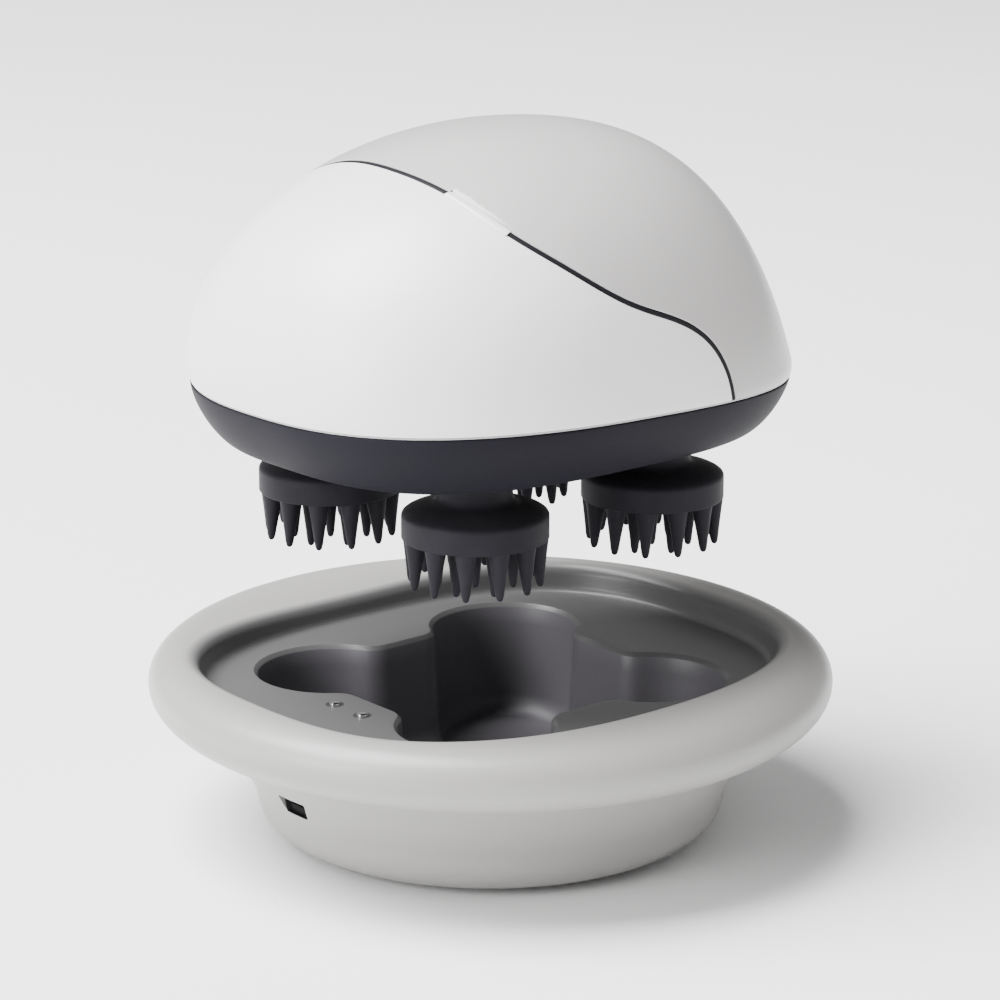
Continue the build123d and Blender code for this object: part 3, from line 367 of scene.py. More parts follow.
def metal(name, colour, roughness, squeeze=(1, 1, 12)):
    """A turned or plated metal with fine rings."""
    made = Finish(name, Metallic=1.0)
    rings = made.node("ShaderNodeMapping", {}, {"Vector": made.place, "Scale": squeeze})
    fine = made.noise(900, detail=2, place=rings)
    cloud = made.noise(70, detail=2)
    worn = tuple(c * 0.86 for c in colour)
    made.feed("Base Color", made.ramp(cloud, [(0.3, worn), (0.7, colour)]))
    made.feed("Roughness", roughness + 0.12 * (fine - 0.5))
    made.bump(fine * (0.00003 / 0.001))
    return made.material


def circuit_board(name):
    """Green lacquer with lighter tracks."""
    made = Finish(name, IOR=1.5)
    track = made.node(
        "ShaderNodeTexBrick",
        {"offset": 0.5},
        {
            "Vector": made.place,
            "Scale": 260.0,
            "Mortar Size": 0.03,
            "Color1": (0.0, 0.0, 0.0),
            "Color2": (0.0, 0.0, 0.0),
            "Mortar": (1.0, 1.0, 1.0),
        },
    )
    made.feed("Base Color", made.blend(track, (0.012, 0.10, 0.045), (0.03, 0.19, 0.08)))
    made.feed("Roughness", 0.3 + 0.1 * made.noise(300))
    made.bump(made.noise(700) * 0.03)
    return made.material


finishes["steel"] = metal("steel", (0.60, 0.60, 0.61), 0.28)
finishes["bronze"] = metal("bronze", (0.60, 0.40, 0.20), 0.36)
finishes["motor_can"] = metal("motor_can", (0.55, 0.55, 0.56), 0.32, squeeze=(1, 1, 30))
finishes["contact_plate"] = metal("contact_plate", (0.80, 0.79, 0.78), 0.16)
finishes["board_green"] = circuit_board("board_green")
print("metals and boards ready")

# %% [markdown]
# ## Paint the frame's own solids
# Pieces inside the housing keep the frame's exact shapes and only take a finish.  The frame's
# record says which material slot each node has, so one loop paints them all.

# %% Paint the frame
slot_of = {part["node"]: part["material_slot"] for part in frame["record"]["subparts"]}
for node, solid in frame["nodes"].items():
    solid.data.materials.clear()
    solid.data.materials.append(finishes[slot_of[node]])
frame["nodes"]["contact_barrels"].data.materials[0] = finishes["structure_black"]
print("painted", len(slot_of), "nodes")

# %% [markdown]
# ## Skins made of rings
# Most of this object is oval or round, yet almost nothing on it is a plain turned shape.  A
# grid is a sheet of squares, and it can be rolled round any form like a label round a jar.
# Each row of the grid becomes one ring, so a shape is a list of rings from one pole to the
# other, and where the first and last ring shrink to a point the skin closes by itself.

# %% Skins made of rings


def only(piece):
    """Select one object alone, and make it the active one."""
    bpy.ops.object.select_all(action="DESELECT")
    piece.select_set(True)
    bpy.context.view_layer.objects.active = piece


def settle(piece, smooth_angle=32):
    """Merge doubles, point the faces outwards and smooth all but the sharp edges."""
    only(piece)
    bpy.ops.object.mode_set(mode="EDIT")
    bpy.ops.mesh.select_all(action="SELECT")
    bpy.ops.mesh.remove_doubles(threshold=0.0006 * MM)
    bpy.ops.mesh.dissolve_degenerate(threshold=0.0001 * MM)
    bpy.ops.mesh.normals_make_consistent(inside=False)
    bpy.ops.object.mode_set(mode="OBJECT")
    bpy.ops.object.shade_smooth_by_angle(angle=radians(smooth_angle))
    return piece


def skin(name, rings, smooth_angle=32):
    """Roll a grid into a closed skin through rings of equally many points, in millimetres."""
    columns = len(rings[0])
    bpy.ops.object.select_all(action="DESELECT")
    bpy.ops.mesh.primitive_grid_add(
        x_subdivisions=columns, y_subdivisions=len(rings) - 1, size=2
    )
    piece = bpy.context.object
    piece.name = name
    flat = np.empty(len(piece.data.vertices) * 3)
    piece.data.vertices.foreach_get("co", flat)
    flat = flat.reshape(-1, 3)
    column = np.rint((flat[:, 0] + 1) / 2 * columns).astype(int) % columns
    row = np.rint((flat[:, 1] + 1) / 2 * (len(rings) - 1)).astype(int)
    placed = np.array(rings)[row, column] * MM
    piece.data.vertices.foreach_set("co", placed.ravel())
    piece.data.update()
    return settle(piece, smooth_angle)


def pole(x, y, z, columns):
    """A ring that has shrunk to one point."""
    return np.tile(np.array([x, y, z], float), (columns, 1))


def apply_all(piece):
    """Apply every modifier of a piece, in order."""
    only(piece)
    for modifier in list(piece.modifiers):
        bpy.ops.object.modifier_apply(modifier=modifier.name)


def carve(piece, tool, operation="DIFFERENCE", keep_tool=False):
    """Cut a piece with another closed mesh, or join or intersect the two."""
    modifier = piece.modifiers.new(operation, "BOOLEAN")
    modifier.operation = operation
    modifier.solver = "EXACT"
    modifier.object = tool
    apply_all(piece)
    if not keep_tool:
        bpy.data.objects.remove(tool)
    return piece


def smooth_again(piece, angle=30):
    """Smooth a piece that booleans have cut, apart from its sharp edges."""
    only(piece)
    bpy.ops.object.shade_smooth_by_angle(angle=radians(angle))


def dress(piece, body, slot, *nodes, finish=None):
    """Give a piece its finish, the body it rides on and the nodes it stands for."""
    piece.data.materials.clear()
    piece.data.materials.append(finishes[finish or slot])
    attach(piece, body)
    if nodes:
        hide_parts(*nodes)
    print(piece.name, len(piece.data.polygons), "faces")
    return piece


# %% [markdown]
# ## The domed crown
# The crown is one egg-like dome that leans towards its high end.  A sphere that is pushed
# about with proportional editing would come close, but the tray, the seam and the key all
# have to lie on exactly the same surface.  So the dome is one formula: an oval, rounder near
# the top, that shrinks and drifts as it rises.  Every seam piece asks this formula where the
# surface is.

# %% The crown's surface
HEAD_PLANE = 71.5           # heights on the body are counted from the heads' shoulders
PARTING = HEAD_PLANE + 20.25
TRAY_BOTTOM = HEAD_PLANE + 8.5
CROWN_HEIGHT = 47.05
HALF_LENGTH = 57.6
HALF_WIDTH = 49.0
OVAL_POWER = 2.45
CROWN_POWER = 1.95
WALL = 2.2
COLUMNS = 288
turns = np.arange(COLUMNS) * 2 * pi / COLUMNS


def oval_ring(half_length, half_width, power, height, shift=0.0):
    """A superellipse: power 2 is an ellipse, more is squarer.  Heights may vary round it."""
    c, s = np.cos(turns), np.sin(turns)
    reach = (np.abs(c / half_length) ** power + np.abs(s / half_width) ** power) ** (-1 / power)
    height = np.broadcast_to(height, reach.shape)
    return np.stack([shift + reach * c, reach * s, height], axis=1)


def body_section(height, inset=0.0):
    """Half length, half width, power and lean of the body at any height."""
    height = np.asarray(height, float)
    rise = np.clip((height - PARTING) / (CROWN_HEIGHT - inset), 0, 1)
    shrink = np.cos(np.arcsin(rise ** (2.14 / 2))) ** (2 / 2.31)
    drop = np.clip((PARTING - height) / (PARTING - TRAY_BOTTOM - inset), 0, 1)
    round_off = np.cos(np.arcsin(drop ** (1.33 / 2))) ** (2 / 1.24)
    above = height >= PARTING
    half_length = np.where(
        above,
        (HALF_LENGTH - inset) * shrink,
        HALF_LENGTH * (0.863 + 0.137 * round_off) - inset,
    )
    half_width = np.where(
        above,
        (HALF_WIDTH - inset) * shrink,
        HALF_WIDTH * (0.831 + 0.169 * round_off) - inset,
    )
    power = OVAL_POWER + (CROWN_POWER - OVAL_POWER) * rise + (2.85 - OVAL_POWER) * drop
    return half_length, half_width, power, 0.8 - 11.2 * rise + 15.6 * rise**2


def body_ring(height, inset=0.0):
    """A ring on the body's surface; every point of it can have its own height."""
    height = np.broadcast_to(height, turns.shape)
    half_length, half_width, power, lean = body_section(height, inset)
    return oval_ring(half_length, half_width, power, height, lean)


def parting_height(x):
    """The arched line where tray and crown meet: it sinks towards both ends."""
    share = x / HALF_LENGTH
    return PARTING - 1.40 * share - 1.63 * share**2


def parting_ring(gap, inset=0.0):
    """The body's ring along the arched line, moved up by a gap."""
    ring = body_ring(PARTING, inset)
    for _ in range(5):
        ring = body_ring(parting_height(ring[:, 0]) + gap, inset)
    return ring


def crown_rings(inset, rows):
    """Rings of the crown from its top down to its arched rim."""
    top = PARTING + CROWN_HEIGHT - inset
    rim = parting_ring(0.25, inset)[:, 2]
    rings = [pole(0.8 - 11.2 + 15.6, 0, top, COLUMNS)]
    for row in range(rows - 1, -1, -1):
        rise = sin(pi / 2 * row / rows) ** (2 / 2.14)
        rings.append(body_ring(rim + (top - rim) * rise, inset))
    return rings


def body_level(points):
    """Negative inside the body and positive outside it, for rows of places."""
    points = np.atleast_2d(points)
    half_length, half_width, power, lean = body_section(points[:, 2])
    x = np.abs((points[:, 0] - lean) / np.maximum(half_length, 1e-6))
    y = np.abs(points[:, 1] / np.maximum(half_width, 1e-6))
    level = np.minimum(x, 9) ** power + np.minimum(y, 9) ** power - 1
    outside = (points[:, 2] > PARTING + CROWN_HEIGHT) | (points[:, 2] < TRAY_BOTTOM)
    return np.where(outside, 1.0, level)


def body_slope(point):
    """How fast that level grows along each axis."""
    step = 0.02
    probes = np.concatenate([point + step * np.eye(3), point - step * np.eye(3)])
    levels = body_level(probes)
    return (levels[:3] - levels[3:]) / (2 * step)


outer_crown = crown_rings(0.0, 80)
inner_crown = crown_rings(WALL, 80)
rim_ring = parting_ring(0.25)
crown_wall = skin(
    "rear_shell_moulding",
    outer_crown[:-1]
    + [rim_ring + [0, 0, 0.22], parting_ring(0.29, 0.05), parting_ring(0.25, 0.22)]
    + inner_crown[::-1],
)
print("crown:", len(crown_wall.data.polygons), "faces")

# %% [markdown]
# ## The seam across the crown
# Two shells of different colours meet in one long S-shaped seam.  It was designed as a line
# drawn on a tilted board in front of the dome and pushed straight onto it.  The lesson does
# the same: a smooth curve through a few points on the tilted plane, and then a search along
# the push direction for the place where it meets the crown.

# %% The seam's line
SEAM_POINTS = np.array(
    [
        (-24.8, 66.0), (-24.8, 50.9), (-26.2, 35.0), (-25.2, 21.3), (-22.0, 7.2),
        (-15.7, -2.5), (-5.0, -11.3), (6.8, -15.6), (14.5, -19.6), (18.2, -24.2),
        (19.2, -34.0),
    ]
)
SEAM_UP = np.array([0.0, 0.8, 0.6])     # the tilted board's own upward direction
SEAM_OUT = np.array([0.0, -0.6, 0.8])   # and the direction it faces
KEY_KNOTS = (3, 4)                      # the key lies between these two of the points


def smooth_line(knots, values, places):
    """A natural cubic spline through values at knots, read at other places."""
    n = len(knots)
    gaps = np.diff(knots)
    system, right = np.eye(n), np.zeros((n, values.shape[1]))
    for i in range(1, n - 1):
        system[i, i - 1 : i + 2] = gaps[i - 1], 2 * (gaps[i - 1] + gaps[i]), gaps[i]
        right[i] = 6 * (
            (values[i + 1] - values[i]) / gaps[i] - (values[i] - values[i - 1]) / gaps[i - 1]
        )
    bends = np.linalg.solve(system, right)
    found = []
    for place in places:
        i = min(n - 2, max(0, int(np.searchsorted(knots, place, side="right")) - 1))
        h, a, b = gaps[i], knots[i + 1] - place, place - knots[i]
        found.append(
            (bends[i] * a**3 + bends[i + 1] * b**3) / (6 * h)
            + (values[i] / h - bends[i] * h / 6) * a
            + (values[i + 1] / h - bends[i + 1] * h / 6) * b
        )
    return np.array(found)


seam_knots = np.concatenate(
    [[0], np.cumsum(np.linalg.norm(np.diff(SEAM_POINTS, axis=0), axis=1))]
)


def on_board(flat):
    """Pairs of along and up on the tilted board, as places in space."""
    return np.column_stack(
        [flat[:, 0], SEAM_UP[1] * flat[:, 1], HEAD_PLANE + SEAM_UP[2] * flat[:, 1]]
    )


def seam_board(places):
    """Points of the seam on the tilted board."""
    return on_board(smooth_line(seam_knots, SEAM_POINTS, places))


def through_body(board_point):
    """Where a push across the tilted board enters the body and where it comes out."""
    steps = np.linspace(120.0, -220.0, 341)
    inside = np.flatnonzero(body_level(board_point + steps[:, None] * SEAM_OUT) < 0)
    if not len(inside):
        return None
    hits = []
    first, last = inside[0], inside[-1]
    for outer, inner in ((steps[first - 1], steps[first]), (steps[last + 1], steps[last])):
        for _ in range(24):
            middle = (outer + inner) / 2
            if body_level(board_point + middle * SEAM_OUT)[0] < 0:
                inner = middle
            else:
                outer = middle
        hits.append(board_point + inner * SEAM_OUT)
    return hits


def seam_on_crown(start, end, count):
    """Places, outward directions and sideways directions along part of the seam."""
    places = np.linspace(start, end, int((end - start) / 0.25))
    hits = [hit for hit in map(through_body, seam_board(places)) if hit]
    lowest = PARTING - 3
    back = [hit[1] for hit in hits if hit[1][2] > lowest]
    track = np.array(back[::-1] + [hit[0] for hit in hits if hit[0][2] > lowest])
    run = np.concatenate([[0], np.cumsum(np.linalg.norm(np.diff(track, axis=0), axis=1))])
    even = np.linspace(0, run[-1], count)
    track = np.stack([np.interp(even, run, track[:, axis]) for axis in range(3)], axis=1)
    outward = np.empty_like(track)
    for i, point in enumerate(track):
        for _ in range(4):
            slope = body_slope(point)
            point = point - body_level(point)[0] * slope / (slope @ slope)
        track[i] = point
        outward[i] = body_slope(point)
    outward /= np.linalg.norm(outward, axis=1)[:, None]
    along = np.gradient(track, axis=0)
    along /= np.linalg.norm(along, axis=1)[:, None]
    across = np.cross(outward, along)
    across /= np.linalg.norm(across, axis=1)[:, None]
    return track, outward, across


key_start, key_end = seam_knots[KEY_KNOTS[0]], seam_knots[KEY_KNOTS[1]]
print("seam", round(seam_knots[-1], 1), "mm long, key", round(key_end - key_start, 1), "mm")

# %% [markdown]
# ## Cutting the seam
# The seam is a groove with chamfered lips, so that it catches a fine line of light, and a
# dark strip lies in it just under the surface.  Both are one flat section swept along the
# seam, turned at each step to the crown's own outward direction.  The groove is swept as a
# solid and cut out of both shells; the strip is swept to fit it.

# %% Shells, strips and key


def swept(name, start, end, section, count=120, straight=False):
    """Sweep a flat section, given as pairs of sideways and outward, along the seam."""
    track, outward, across = seam_on_crown(start, end, count)
    if straight:
        outward = np.tile(SEAM_OUT, (count, 1))
        across = np.cross(outward, np.gradient(track, axis=0))
        across /= np.linalg.norm(across, axis=1)[:, None]
    rings = []
    for i, point in enumerate(track):
        rings.append([point + a * across[i] + b * outward[i] for a, b in section])
    first, last = np.mean(rings[0], axis=0), np.mean(rings[-1], axis=0)
    ends = [pole(*first, len(section))], [pole(*last, len(section))]
    return skin(name, ends[0] + rings + ends[1], smooth_angle=50)


def copy_of(piece, name):
    """A separate copy with its own mesh."""
    only(piece)
    bpy.ops.object.duplicate(linked=False)
    copy = bpy.context.object
    copy.name = name
    return copy


def groove_section(half_width, depth, chamfer=0.16):
    """A slot with chamfered lips, which reaches a little above the surface."""
    above = 0.5
    wide = half_width + chamfer + above
    return [
        (-half_width, -depth), (-half_width, -chamfer), (-wide, above), (wide, above),
        (half_width, -chamfer), (half_width, -depth),
    ]


INLAY_HALF = 0.55
KEY_HALF = 0.85
KEY_GAP = 0.15
KEY_WIDE = KEY_HALF + 0.05              # the key nearly fills its slot
seam_places = np.linspace(seam_knots[0], seam_knots[-1], 200)
edge = seam_board(seam_places)
corners = on_board(np.array([[19.2, -90.0], [-90.0, -90.0], [-90.0, 66.0]]))
outline = np.concatenate([edge, corners])
middle = on_board(np.array([[-80.0, -20.0]]))[0]
front_space = skin(
    "front_space",
    [
        pole(*(middle - 90 * SEAM_OUT), len(outline)),
        outline - 90 * SEAM_OUT,
        outline + 90 * SEAM_OUT,
        pole(*(middle + 90 * SEAM_OUT), len(outline)),
    ],
)
rear_shell = crown_wall
front_shell = carve(copy_of(rear_shell, "front_shell_moulding"), front_space, "INTERSECT", True)
carve(rear_shell, front_space)
groove_parts = [
    swept("groove_rear", seam_knots[0], key_start, groove_section(INLAY_HALF, 1.2)),
    swept("groove_front", key_end, seam_knots[-1], groove_section(INLAY_HALF, 1.2)),
    swept(
        "key_slot",
        key_start - KEY_GAP,
        key_end + KEY_GAP,
        groove_section(KEY_HALF + KEY_GAP, 3.4, chamfer=0.05),
        count=60,
        straight=True,
    ),
]
strip = [
    (-INLAY_HALF + 0.03, -1.15), (-INLAY_HALF + 0.03, -0.24), (-INLAY_HALF + 0.18, -0.12),
    (0.0, -0.07), (INLAY_HALF - 0.18, -0.12), (INLAY_HALF - 0.03, -0.24),
    (INLAY_HALF - 0.03, -1.15),
]
inlay_rear = swept("rear_strip", seam_knots[0], key_start, strip)
inlay_front = swept("front_strip", key_end, seam_knots[-1], strip)
# The key's slot also trims the strips, so that their ends stay clear of it all the way down.
carve(inlay_rear, groove_parts[-1], keep_tool=True)
carve(inlay_front, groove_parts[-1], keep_tool=True)
for tool in groove_parts:
    carve(front_shell, tool, keep_tool=True)
    carve(rear_shell, tool)
rim_rings = [pole(0, 0, PARTING - 12, COLUMNS), oval_ring(70, 60, 2.4, PARTING - 12)]
for share in (1.0, 0.85, 0.7, 0.55, 0.4, 0.2):
    ring = oval_ring(70 * share, 60 * share, 2.4, PARTING)
    ring[:, 2] = parting_height(ring[:, 0]) + 0.27
    rim_rings.append(ring)
rim_space = skin("rim_space", rim_rings + [pole(0, 0, PARTING + 0.27, COLUMNS)])
carve(inlay_rear, rim_space, keep_tool=True)
carve(inlay_front, rim_space)
key = swept(
    "power_key_cap",
    key_start,
    key_end,
    [
        (-KEY_WIDE, -2.6), (-KEY_WIDE, -0.05), (-KEY_WIDE + 0.14, 0.12), (-0.4, 0.2),
        (0.4, 0.2), (KEY_WIDE - 0.14, 0.12), (KEY_WIDE, -0.05), (KEY_WIDE, -2.6),
    ],
    count=60,
    straight=True,
)
for shell, finish, node in (
    (front_shell, "shell_white", "front_shell"),
    (rear_shell, "shell_pearl", "rear_shell"),
):
    smooth_again(shell)
    dress(shell, "massager", finish, node)
dress(inlay_rear, "massager", "inlay_dark", "seam_inlay_rear")
dress(inlay_front, "massager", "inlay_dark", "seam_inlay_front")
dress(key, "power_key", "key_bright", "power_button")

# %% [markdown]
# ## The base tray
# Under the crown sits a shallow dark tray.  Its flank rolls under in one soft curve to a flat
# bottom, where four low bosses surround the shafts and two plated pads meet the charger.
# The flank is a list of rings again, and the bosses are joined on as turned shapes.

# %% Base tray
TRAY_WALL = 2.2
GEAR_MODULE, SUN_TEETH, HEAD_TEETH = 1.25, 28, 22
HEAD_OFFSET = GEAR_MODULE * (SUN_TEETH + HEAD_TEETH) / 2 / sqrt(2)
CONTACT_X, CONTACT_Y = -35.2, 4.25      # the charging contacts, either side of the middle
head_places = {
    "front": (-HEAD_OFFSET, -HEAD_OFFSET),
    "left": (-HEAD_OFFSET, HEAD_OFFSET),
    "right": (HEAD_OFFSET, -HEAD_OFFSET),
    "rear": (HEAD_OFFSET, HEAD_OFFSET),
}


def tray_rings(inset):
    """Rings of the tray from its rim, round its flank, to the middle of its bottom."""
    rows = 28
    bottom = TRAY_BOTTOM + inset
    rim = parting_ring(-0.25, inset)[:, 2]
    rings = []
    for row in range(rows + 1):
        drop = sin(pi / 2 * row / rows) ** (2 / 1.33)
        rings.append(body_ring(rim - (rim - bottom) * drop, inset))
    for share in (0.96, 0.8, 0.5, 0.2):
        rings.append(
            oval_ring((49.7 - inset) * share, (40.7 - inset) * share, 2.85, bottom, 0.8)
        )
    rings.append(pole(0.8, 0, bottom, COLUMNS))
    return rings


def turned(name, centre, profile, count=64, smooth_angle=32):
    """Turn pairs of radius and height about an upright axis; the ends close themselves."""
    angles = np.arange(count) * 2 * pi / count
    ring = np.stack([np.cos(angles), np.sin(angles), np.zeros(count)], axis=1)
    rings = [
        np.array([centre[0], centre[1], height]) + max(0.0, radius) * ring
        for radius, height in profile
    ]
    return skin(name, rings, smooth_angle)


flank = tray_rings(0.0)
inside = tray_rings(TRAY_WALL)
rim = [parting_ring(-0.25, 0.3), parting_ring(-0.33, 0.08), parting_ring(-0.5, 0.0)]
base_tray = skin("tray_moulding", inside[::-1] + rim + flank[2:])
for x, y in head_places.values():
    boss = turned(
        "boss",
        (x, y),
        [
            (0, TRAY_BOTTOM + 1), (8.6, TRAY_BOTTOM + 1), (8.6, TRAY_BOTTOM - 0.02),
            (8.15, TRAY_BOTTOM - 0.12), (8.0, TRAY_BOTTOM - 0.5),
            (7.85, TRAY_BOTTOM - 0.72), (7.6, TRAY_BOTTOM - 0.8), (0, TRAY_BOTTOM - 0.8),
        ],
    )
    carve(base_tray, boss, "UNION")
for x, y in head_places.values():
    bore = turned("bore", (x, y), [(0, 70), (4.4, 70), (4.4, 90), (0, 90)])
    carve(base_tray, bore)
for y in (-CONTACT_Y, CONTACT_Y):
    seat = turned("seat", (CONTACT_X, y), [(0, 70), (2.4, 70), (2.4, 81), (0, 81)], count=48)
    carve(base_tray, seat)
smooth_again(base_tray)
dress(base_tray, "massager", "tray_charcoal", "base_tray")

# %% Charging pads
pads = []
for y in (-CONTACT_Y, CONTACT_Y):
    pads.append(
        turned(
            "charging_pad",
            (CONTACT_X, y),
            [
                (0, TRAY_BOTTOM + 1.0), (2.38, TRAY_BOTTOM + 1.0),
                (2.38, TRAY_BOTTOM + 0.15), (2.25, TRAY_BOTTOM + 0.03),
                (1.9, TRAY_BOTTOM + 0.0), (1.5, TRAY_BOTTOM + 0.06),
                (0, TRAY_BOTTOM + 0.06),
            ],
            count=48,
        )
    )


def joined(pieces, name):
    """Join several pieces into the first one."""
    only(pieces[0])
    for piece in pieces:
        piece.select_set(True)
    bpy.ops.object.join()
    pieces[0].name = name
    return pieces[0]


dress(joined(pads, "charging_pads"), "massager", "contact_plate", "contact_pads")

# %% [markdown]
# ## The seal line
# A thin light seal shows as a bright hairline between the dark tray and the crown.

# %% Seal
seal_rings = [
    parting_ring(gap, inset)
    for inset, gap in (
        (2.2, -0.25), (0.5, -0.25), (0.26, -0.12), (0.26, 0.12), (0.5, 0.25), (2.2, 0.25),
        (2.2, -0.25),
    )
]
dress(skin("seal_ring", seal_rings), "massager", "seal_grey", "tray_seal")

# %% [markdown]
# ## Kneading heads
# Each head is a soft silicone cap: a neck, a sloping shoulder, a short band and a crown of
# tapered spikes under it.  The twelve outer spikes continue the band, and seven more stand
# inside them.  One head is modelled with care and copied to the other three places, so all
# four are the same moulding.

# %% Heads
SPIKE_PHASE = radians(12.0)
CAP_PROFILE = [
    (0.0, -3.0), (4.9, -3.0), (4.95, 7.3), (6.7, 7.3), (6.95, 7.05), (6.98, 5.5),
    (7.0, 3.9), (7.2, 3.0), (7.75, 2.4), (8.7, 2.05), (10.0, 1.75), (11.3, 1.38),
    (12.5, 0.98), (13.2, 0.6), (13.55, 0.3), (13.72, -0.05), (13.75, -0.5), (13.75, -2.2),
    (13.75, -3.3), (13.75, -4.25), (13.6, -4.45), (13.3, -4.5), (9.0, -4.5), (4.5, -4.5),
    (0.0, -4.5),
]


def spike(ring_radius, angle, tip, root_radius, lean):
    """A tapered spike with a round tip, which can lean outwards a little."""
    root = -4.3
    length = root - tip
    profile = [(0, root + 0.5), (root_radius, root + 0.5), (root_radius, root)]
    for share in (0.05, 0.15, 0.3, 0.5, 0.7, 0.88):
        radius = 0.66 + (root_radius - 0.66) * (1 - share) ** 1.15
        profile.append((radius, root - share * length))
    for step in range(1, 5):
        swing = pi / 2 * step / 4
        profile.append((0.62 * cos(swing), tip + 0.62 - 0.62 * sin(swing)))
    profile = [(r, HEAD_PLANE + h) for r, h in profile]
    centre = (ring_radius * cos(angle), ring_radius * sin(angle))
    piece = turned("spike", centre, profile, count=20, smooth_angle=60)
    for vertex in piece.data.vertices:
        drop = min(1.0, max(0.0, (HEAD_PLANE + root - vertex.co.z / MM) / length))
        vertex.co.x += lean * drop * cos(angle) * MM
        vertex.co.y += lean * drop * sin(angle) * MM
    return piece


cap = turned("kneading_cap", (0, 0), [(r, HEAD_PLANE + h) for r, h in CAP_PROFILE], count=120)
spikes = [spike(0, 0, -14.3, 1.75, 0.0)]
for ring_radius, count, tip, phase, root_radius, lean in (
    (11.62, 12, -13.6, SPIKE_PHASE, 2.1, 0.5),
    (6.9, 6, -14.3, SPIKE_PHASE + radians(8), 1.9, 0.1),
):
    for k in range(count):
        spikes.append(spike(ring_radius, phase + 2 * pi * k / count, tip, root_radius, lean))
cap = joined([cap] + spikes, "kneading_cap")
for side, (x, y) in head_places.items():
    head = copy_of(cap, f"kneading_cap_{side}")
    only(head)
    bpy.ops.transform.translate(value=(x * MM, y * MM, 0))
    bpy.ops.object.transform_apply(location=True, rotation=True, scale=True)
    dress(head, f"head_{side}", "silicone_dark", f"head_cap_{side}")
bpy.data.objects.remove(cap)

# %% [markdown]
# ## The dock's bowl
# The dock is round outside and oval inside: its brim is a turned roll, and its bowl is the
# massager's own oval.  Under the bowl's ledge lies a recess with a round lobe for each head.
# Seen from straight above, every one of these outlines meets a ray from the middle just
# once, so a list of rings can follow them all, from the roll to the floor of the recess.

# %% Dock outlines
BRIM_RADIUS, BRIM_EDGE = 66.8, 30.5
PEAK_RADIUS, PEAK_HEIGHT = 60.0, 36.2
BRIM_FALL = 0.13
CUP_TOP_RADIUS, CUP_TOP = 52.5, 22.2
BOWL_LENGTH, BOWL_WIDTH, BOWL_POWER = 55.2, 46.2, 2.85
BOWL_DRAFT, BOWL_ROUND = 1.4, 2.6
LEDGE, LEDGE_UNDER = 30.3, 28.7
RECESS_FLOOR, RECESS_ROUND, RECESS_CHAMFER = 7.0, 4.0, 0.8
LOBE_RADIUS, SIDE_LENGTH, SIDE_WIDTH, WEB_ROUND = 14.7, 28.5, 26.5, 5.0
DRAFT = tan(radians(3.0))
DOCK_COLUMNS = 480
dock_turns = np.arange(DOCK_COLUMNS) * 2 * pi / DOCK_COLUMNS
ray = np.stack([np.cos(dock_turns), np.sin(dock_turns)], axis=1)


def lift(reach, height):
    """A ring from its reach along every ray and its height."""
    height = np.broadcast_to(height, reach.shape)
    return np.column_stack([ray * reach[:, None], height])


def circle_hit(direction, centre, radius, far=True):
    """Where a ray from the middle leaves, or enters, a circle."""
    along = direction @ centre
    gap = along**2 - centre @ centre + radius**2
    if gap < 0:
        return None
    return along + sqrt(gap) if far else along - sqrt(gap)


def recess_reach(shrink):
    """The recess's outline as a reach along each ray, with its walls moved in by `shrink`."""
    lobe = np.array([HEAD_OFFSET, HEAD_OFFSET])
    radius = LOBE_RADIUS - shrink
    found = []
    for c, s in np.abs(ray):
        direction = np.array([c, s])
        reach = 0.0
        for axis, side in ((0, SIDE_LENGTH - shrink), (1, SIDE_WIDTH - shrink)):
            flat = side / max(direction[axis], 1e-9)
            web_round = WEB_ROUND + shrink
            web = np.zeros(2)
            web[axis] = side + web_round
            drop = sqrt((radius + web_round) ** 2 - (web[axis] - lobe[axis]) ** 2)
            web[1 - axis] = lobe[1 - axis] - drop
            on_flat = np.zeros(2)
            on_flat[axis], on_flat[1 - axis] = side, web[1 - axis]
            on_lobe = lobe + (web - lobe) * radius / (radius + web_round)
            share = direction[1 - axis] / max(direction[axis], 1e-9)
            if share <= on_flat[1 - axis] / on_flat[axis]:
                reach = flat
            elif share <= on_lobe[1 - axis] / on_lobe[axis]:
                reach = circle_hit(direction, web, web_round, far=False)
        if not reach:
            reach = circle_hit(direction, lobe, radius)
        found.append(reach)
    return np.array(found)


def bowl_reach(grow):
    """The bowl's oval outline as a reach along each ray."""
    c, s = np.abs(ray[:, 0]), np.abs(ray[:, 1])
    a, b = BOWL_LENGTH + grow, BOWL_WIDTH + grow
    return ((c / a) ** BOWL_POWER + (s / b) ** BOWL_POWER) ** (-1 / BOWL_POWER)


def brim_height(reach):
    """The brim's gentle slope down to the bowl, which starts level at its peak."""
    inward = np.maximum(0.0, PEAK_RADIUS - reach)
    return PEAK_HEIGHT - BRIM_FALL * inward**2 / (inward + 2.5)


def round_ring(radius, height):
    """A plain circle."""
    return lift(np.full(DOCK_COLUMNS, float(radius)), height)


outline = recess_reach(0.0)
print("recess reaches from", outline.min().round(1), "to", outline.max().round(1))

